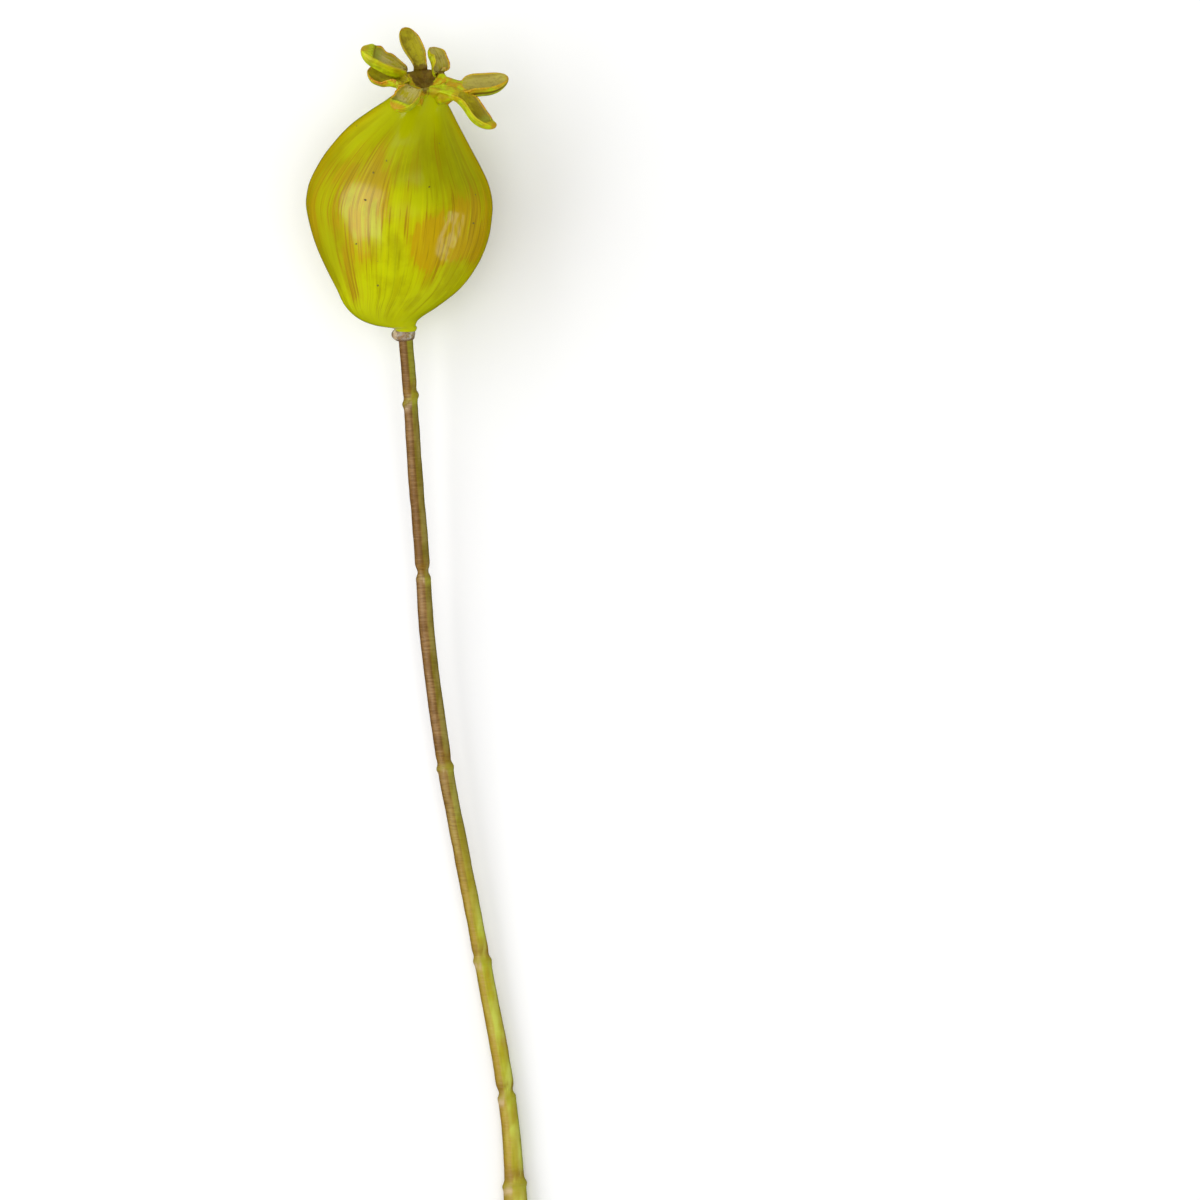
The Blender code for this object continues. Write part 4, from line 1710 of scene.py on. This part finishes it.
    def joint_heights(self, graph: Graph, along: Wire, across: Wire,
                      width: Wire) -> tuple[Wire, Wire, Wire, Wire]:
        """Shape and tint of all joints.

        Args:
            graph: the nodes that draw the skin.
            along: place along the stem.
            across: cosine of the angle from the skin's right side.
            width: half width of a joint's ring.

        Returns:
            Height that the joints add, how near a point is just above and just below one, and
            how much it is on a raised ring.
        """
        totals: list[Wire | float] = [0.0, 0.0, 0.0, 0.0]
        for joint in self.joints:
            away = (along - joint.y - across * (joint.skew / 2)) / width
            ring = self.bell(graph, away, 0.0, 1.0)
            waist = self.bell(graph, away, 1.5, 1.4)
            parts = (ring * joint.height - waist * joint.pinch,
                     self.bell(graph, away, 2.6, 2.0), self.bell(graph, away, -1.1, 1.2),
                     ring * (joint.height / self.tallest_ring))
            totals = [part + total for part, total in zip(parts, totals)]
        return totals[0], totals[1], totals[2], totals[3]

    @staticmethod
    def bell(graph: Graph, value: Wire, centre: float, width: float) -> Wire:
        """Bell curve of height 1 round centre."""
        away = (value - centre) / width
        return graph.math("EXPONENT", away * away * -1.0)

    def build(self, shift: Array) -> bpy.types.Object:
        """Make the stem as a plain mesh.

        Args:
            shift: how far the fixed frame lies from the sizes' own origin.

        Returns:
            The stem's object, which stands for the node stem.
        """
        tree = self.tree(float(shift[1]), self.finish.material())
        piece = grow(self.spine(shift), tree, self.sizes(), "stem_with_joints")
        close_and_turn(piece)
        settle(piece, "stem")
        return piece


@dataclass
class Collar:
    """The clear ring round the joint of pod and stem, fuller on its left."""

    finish: ClearGlue
    length: float = 2.4
    bore: float = 1.35
    sides: int = 96
    profile: tuple[tuple[float, float], ...] = (      # (share of the length, outer radius)
        (-0.42, 2.05),
        (-0.25, 2.22),
        (0.0, 2.30),
        (0.3, 2.22),
        (0.55, 2.05),
        (0.70, 1.86),
        (0.78, 1.62),
    )
    bulge: float = 0.85           # how much fuller it is on its left
    waves: Waves = Waves(0.05, 2.4, 17)
    outer_rings: int = 26
    wrap: float = 2.5             # radius that the waves are wrapped on
    bore_shares: tuple[float, ...] = (0.72, 0.4, -0.3)     # rings inside, from its lower end up

    def build(self, stem: Stem, shift: Array) -> bpy.types.Object:
        """Make the collar.

        Args:
            stem: the stem whose top the collar holds.
            shift: how far the fixed frame lies from the sizes' own origin.

        Returns:
            The collar's object, which stands for the node collar.
        """
        top_y = stem.plan[-1][0]
        top, below = stem.point([top_y, top_y - 1.0])
        down = unit(below - top)
        right = unit(np.cross(down, [0.0, 0.0, 1.0])) * -1
        up = np.cross(right, down)
        shares = np.linspace(self.profile[0][0], self.profile[-1][0], self.outer_rings)
        outer = smooth(self.profile, shares)[:, 0]
        angles = 2 * math.pi * np.arange(self.sides) / self.sides
        spin = np.cos(angles)[:, None] * right + np.sin(angles)[:, None] * up
        circle = np.column_stack([np.cos(angles), np.sin(angles)]) * self.wrap
        side = -np.cos(angles)
        rings = []
        for share, radius in zip(shares, outer):
            belly = math.sin(math.pi * min(max((share + 0.5) / 1.4, 0.0), 1.0))
            fuller = radius + self.bulge * belly * np.maximum(side, 0.0) ** 1.5
            fuller = fuller + self.waves.at(circle + share)
            rings.append(top + down * (share * self.length) + spin * fuller[:, None])
        for share in self.bore_shares:
            rings.append(top + down * (share * self.length) + spin * self.bore)
        points = np.vstack(rings) + shift
        faces = tube_faces(len(rings), self.sides)
        last = (len(rings) - 1) * self.sides
        for index in range(self.sides):
            beside = (index + 1) % self.sides
            faces.append((last + index, last + beside, beside, index))
        low_edge = np.concatenate([np.repeat(ease((shares - 0.5) / 0.25), self.sides),
                                   np.ones(len(self.bore_shares) * self.sides)])
        piece = make_piece("clear_collar", points, faces, self.finish.material(),
                           {"low_edge": low_edge})
        face_outwards(piece)
        settle(piece, "collar")
        return piece


@dataclass
class Specks:
    """Grains of dried paint scattered over the pod by geometry nodes."""

    finish: Speck
    per_square_metre: float = 9000.0
    size: float = 0.22
    seed: int = 11

    def sizes(self) -> dict[str, float]:
        """The grains' sizes by the names of the tree's inputs."""
        return {"Density": self.per_square_metre, "Grain Size": self.size}

    def tree(self, material: bpy.types.Material) -> bpy.types.NodeTree:
        """Geometry nodes that scatter flattened grains over a surface.

        Args:
            material: the grains' finish.

        Returns:
            The node tree.
        """
        graph, enter = start_tree("scattered_grains", self.sizes())
        points = graph.node("GeometryNodeDistributePointsOnFaces", {}, {
            "Mesh": enter.outputs["Geometry"], "Density": enter.outputs["Density"],
            "Seed": self.seed})
        ball = graph.node("GeometryNodeMeshIcoSphere", {}, {"Radius": MM, "Subdivisions": 2})
        grain = graph.node("GeometryNodeSetShadeSmooth", {}, {0: ball.outputs["Mesh"]})
        chance = graph.node("FunctionNodeRandomValue", {"data_type": "FLOAT"}, {
            2: 0.25, 3: 1.0, "Seed": self.seed})
        size = Wire(graph, chance.outputs[1])
        size = size * size * Wire(graph, enter.outputs["Grain Size"])
        stretch = graph.node("ShaderNodeCombineXYZ", {}, {0: size, 1: size * 1.6, 2: size * 0.3})
        placed = graph.node("GeometryNodeInstanceOnPoints", {}, {
            "Points": points.outputs["Points"], "Instance": grain.outputs[0],
            "Rotation": points.outputs["Rotation"], "Scale": stretch.outputs[0]})
        return end_tree(graph, placed.outputs[0], material)

    def build(self, surface: bpy.types.Object) -> bpy.types.Object:
        """Scatter the grains over a surface.

        Args:
            surface: the mesh object that the grains lie on.

        Returns:
            The grains as one plain mesh object.
        """
        ground = add_object("grain_ground", surface.data.copy())
        piece = grow(ground, self.tree(self.finish.material()), self.sizes(), "paint_specks")
        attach(piece, "root")
        return piece


# ---------------------------------------------------------------- studio


class Side(Enum):
    """Where a softbox stands, seen from the camera."""

    LEFT = -1
    RIGHT = 1
    ABOVE = 0


@dataclass(frozen=True)
class Softbox:
    """A rectangular light that looks at the pod."""

    side: Side
    tilt: float           # degrees from straight above
    swing: float          # degrees towards the crown
    distance: float
    size: tuple[float, float]
    power: float
    shines: bool = True   # whether its reflection shows
    lights: bool = True   # whether it lights rough surfaces

    def build(self, target: Vector) -> None:
        """Add the light.

        Args:
            target: the point that it looks at.
        """
        light = bpy.data.lights.new(f"softbox_{self.side.name.lower()}", "AREA")
        light.shape = "RECTANGLE"
        light.size, light.size_y = self.size
        light.energy = self.power
        thing = add_object(light.name, light)
        tilt, swing = math.radians(self.tilt), math.radians(self.swing)
        sign = self.side.value or 1
        away = Vector((sign * math.sin(tilt) * math.cos(swing), math.sin(swing),
                       math.cos(tilt) * math.cos(swing)))
        thing.location = target + away * self.distance
        thing.rotation_mode = "QUATERNION"
        thing.rotation_quaternion = away.to_track_quat("Z", "Y")
        thing.visible_camera = False
        thing.visible_glossy = self.shines
        thing.visible_diffuse = self.lights


@dataclass
class Studio:
    """Pale floor, softboxes and a long lens that looks straight down."""

    floor: Ground
    view_centre: tuple[float, float] = (41.1, 7.0)
    view_height: float = 20.0
    view_width: float = 271.2
    camera_height: float = 2.4    # metres above the view's own height
    sensor: float = 36.0
    far_limit: float = 20.0       # metres that the camera sees
    floor_half: float = 4.0       # metres from the floor's middle to its edges
    world_strength: float = 0.50
    boxes: tuple[Softbox, ...] = (
        Softbox(Side.LEFT, 47.0, 2.0, 0.8, (1.30, 0.56), 4.2, shines=False),
        Softbox(Side.LEFT, 46.5, 2.0, 0.8, (1.44, 0.80), 8.4, lights=False),
        Softbox(Side.RIGHT, 76.0, -24.0, 0.8, (0.46, 0.24), 0.75),
        Softbox(Side.ABOVE, 8.0, 62.0, 1.2, (0.9, 0.5), 0.8),
        Softbox(Side.ABOVE, 2.0, -6.0, 1.4, (1.0, 1.0), 6.8, shines=False),
    )

    def build(self, shift: Array) -> None:
        """Add the floor, the lights, the world and the camera.

        Args:
            shift: how far the fixed frame lies from the sizes' own origin.
        """
        scene = bpy.context.scene
        corners = np.array([(-1, -1, 0), (1, -1, 0), (1, 1, 0), (-1, 1, 0)]) * (
            self.floor_half / MM)
        floor = make_piece("floor", corners, [(0, 1, 2, 3)], self.floor.material(), {})
        floor.visible_glossy = False
        world = bpy.data.worlds.new("studio")
        world.use_nodes = True
        background = world.node_tree.nodes["Background"]
        background.inputs["Color"].default_value = (1.0, 1.0, 1.0, 1.0)
        background.inputs["Strength"].default_value = self.world_strength
        world.cycles_visibility.glossy = False
        scene.world = world
        low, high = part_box("pod")
        for box in self.boxes:
            box.build((low + high) / 2)
        lens = bpy.data.cameras.new("long_lens")
        lens.sensor_width = self.sensor
        lens.lens = self.sensor * self.camera_height / (self.view_width * MM)
        lens.clip_end = self.far_limit
        camera = add_object("long_lens", lens)
        camera.location = (
            (self.view_centre[0] + shift[0]) * MM,
            (self.view_centre[1] + shift[1]) * MM,
            (self.view_height + shift[2]) * MM + self.camera_height,
        )
        scene.camera = camera
        scene.view_settings.view_transform = "Standard"


def frame_shift(pod: Pod) -> Array:
    """How far the fixed frame lies from the sizes' own origin, read from the pod's box.

    Args:
        pod: the pod with its own sizes.

    Returns:
        The shift in millimetres.
    """
    low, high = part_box("pod")
    own_low, own_high = pod.outline_box()
    return (np.array(low) + np.array(high)) / (2 * MM) - (own_low + own_high) / 2


def main() -> None:
    """Build every piece in order."""
    pod = Pod(PodPaint("pod_paint", "pod_skin", roughness=0.16, specular=0.50))
    shift = frame_shift(pod)
    log.info("frame lies %s mm from the sizes' origin", np.round(shift, 3))
    pod_piece = pod.build(shift)
    log.info("pod: %d faces", len(pod_piece.data.polygons))
    crown = Crown(CrownPaint("crown_paint", "crown_lobes", roughness=0.42, specular=0.25))
    crown.place(pod)
    log.info("crown: %d faces", len(crown.build(shift).data.polygons))
    stem = Stem(StemPaint("stem_paint", "stem_skin", roughness=0.45, specular=0.4))
    stem.place(pod)
    log.info("stem: %d faces", len(stem.build(shift).data.polygons))
    collar = Collar(ClearGlue("clear_glue", "clear_collar", roughness=0.07, transmission=0.68))
    log.info("collar: %d faces", len(collar.build(stem, shift).data.polygons))
    specks = Specks(Speck("dried_paint", "pod_skin", roughness=0.6))
    log.info("specks: %d faces", len(specks.build(pod_piece).data.polygons))
    Studio(Ground("pale_floor", "", roughness=0.7, specular=0.1)).build(shift)


if __name__ == "__main__":
    logging.basicConfig(level=logging.INFO, format="%(name)s: %(message)s")
    main()
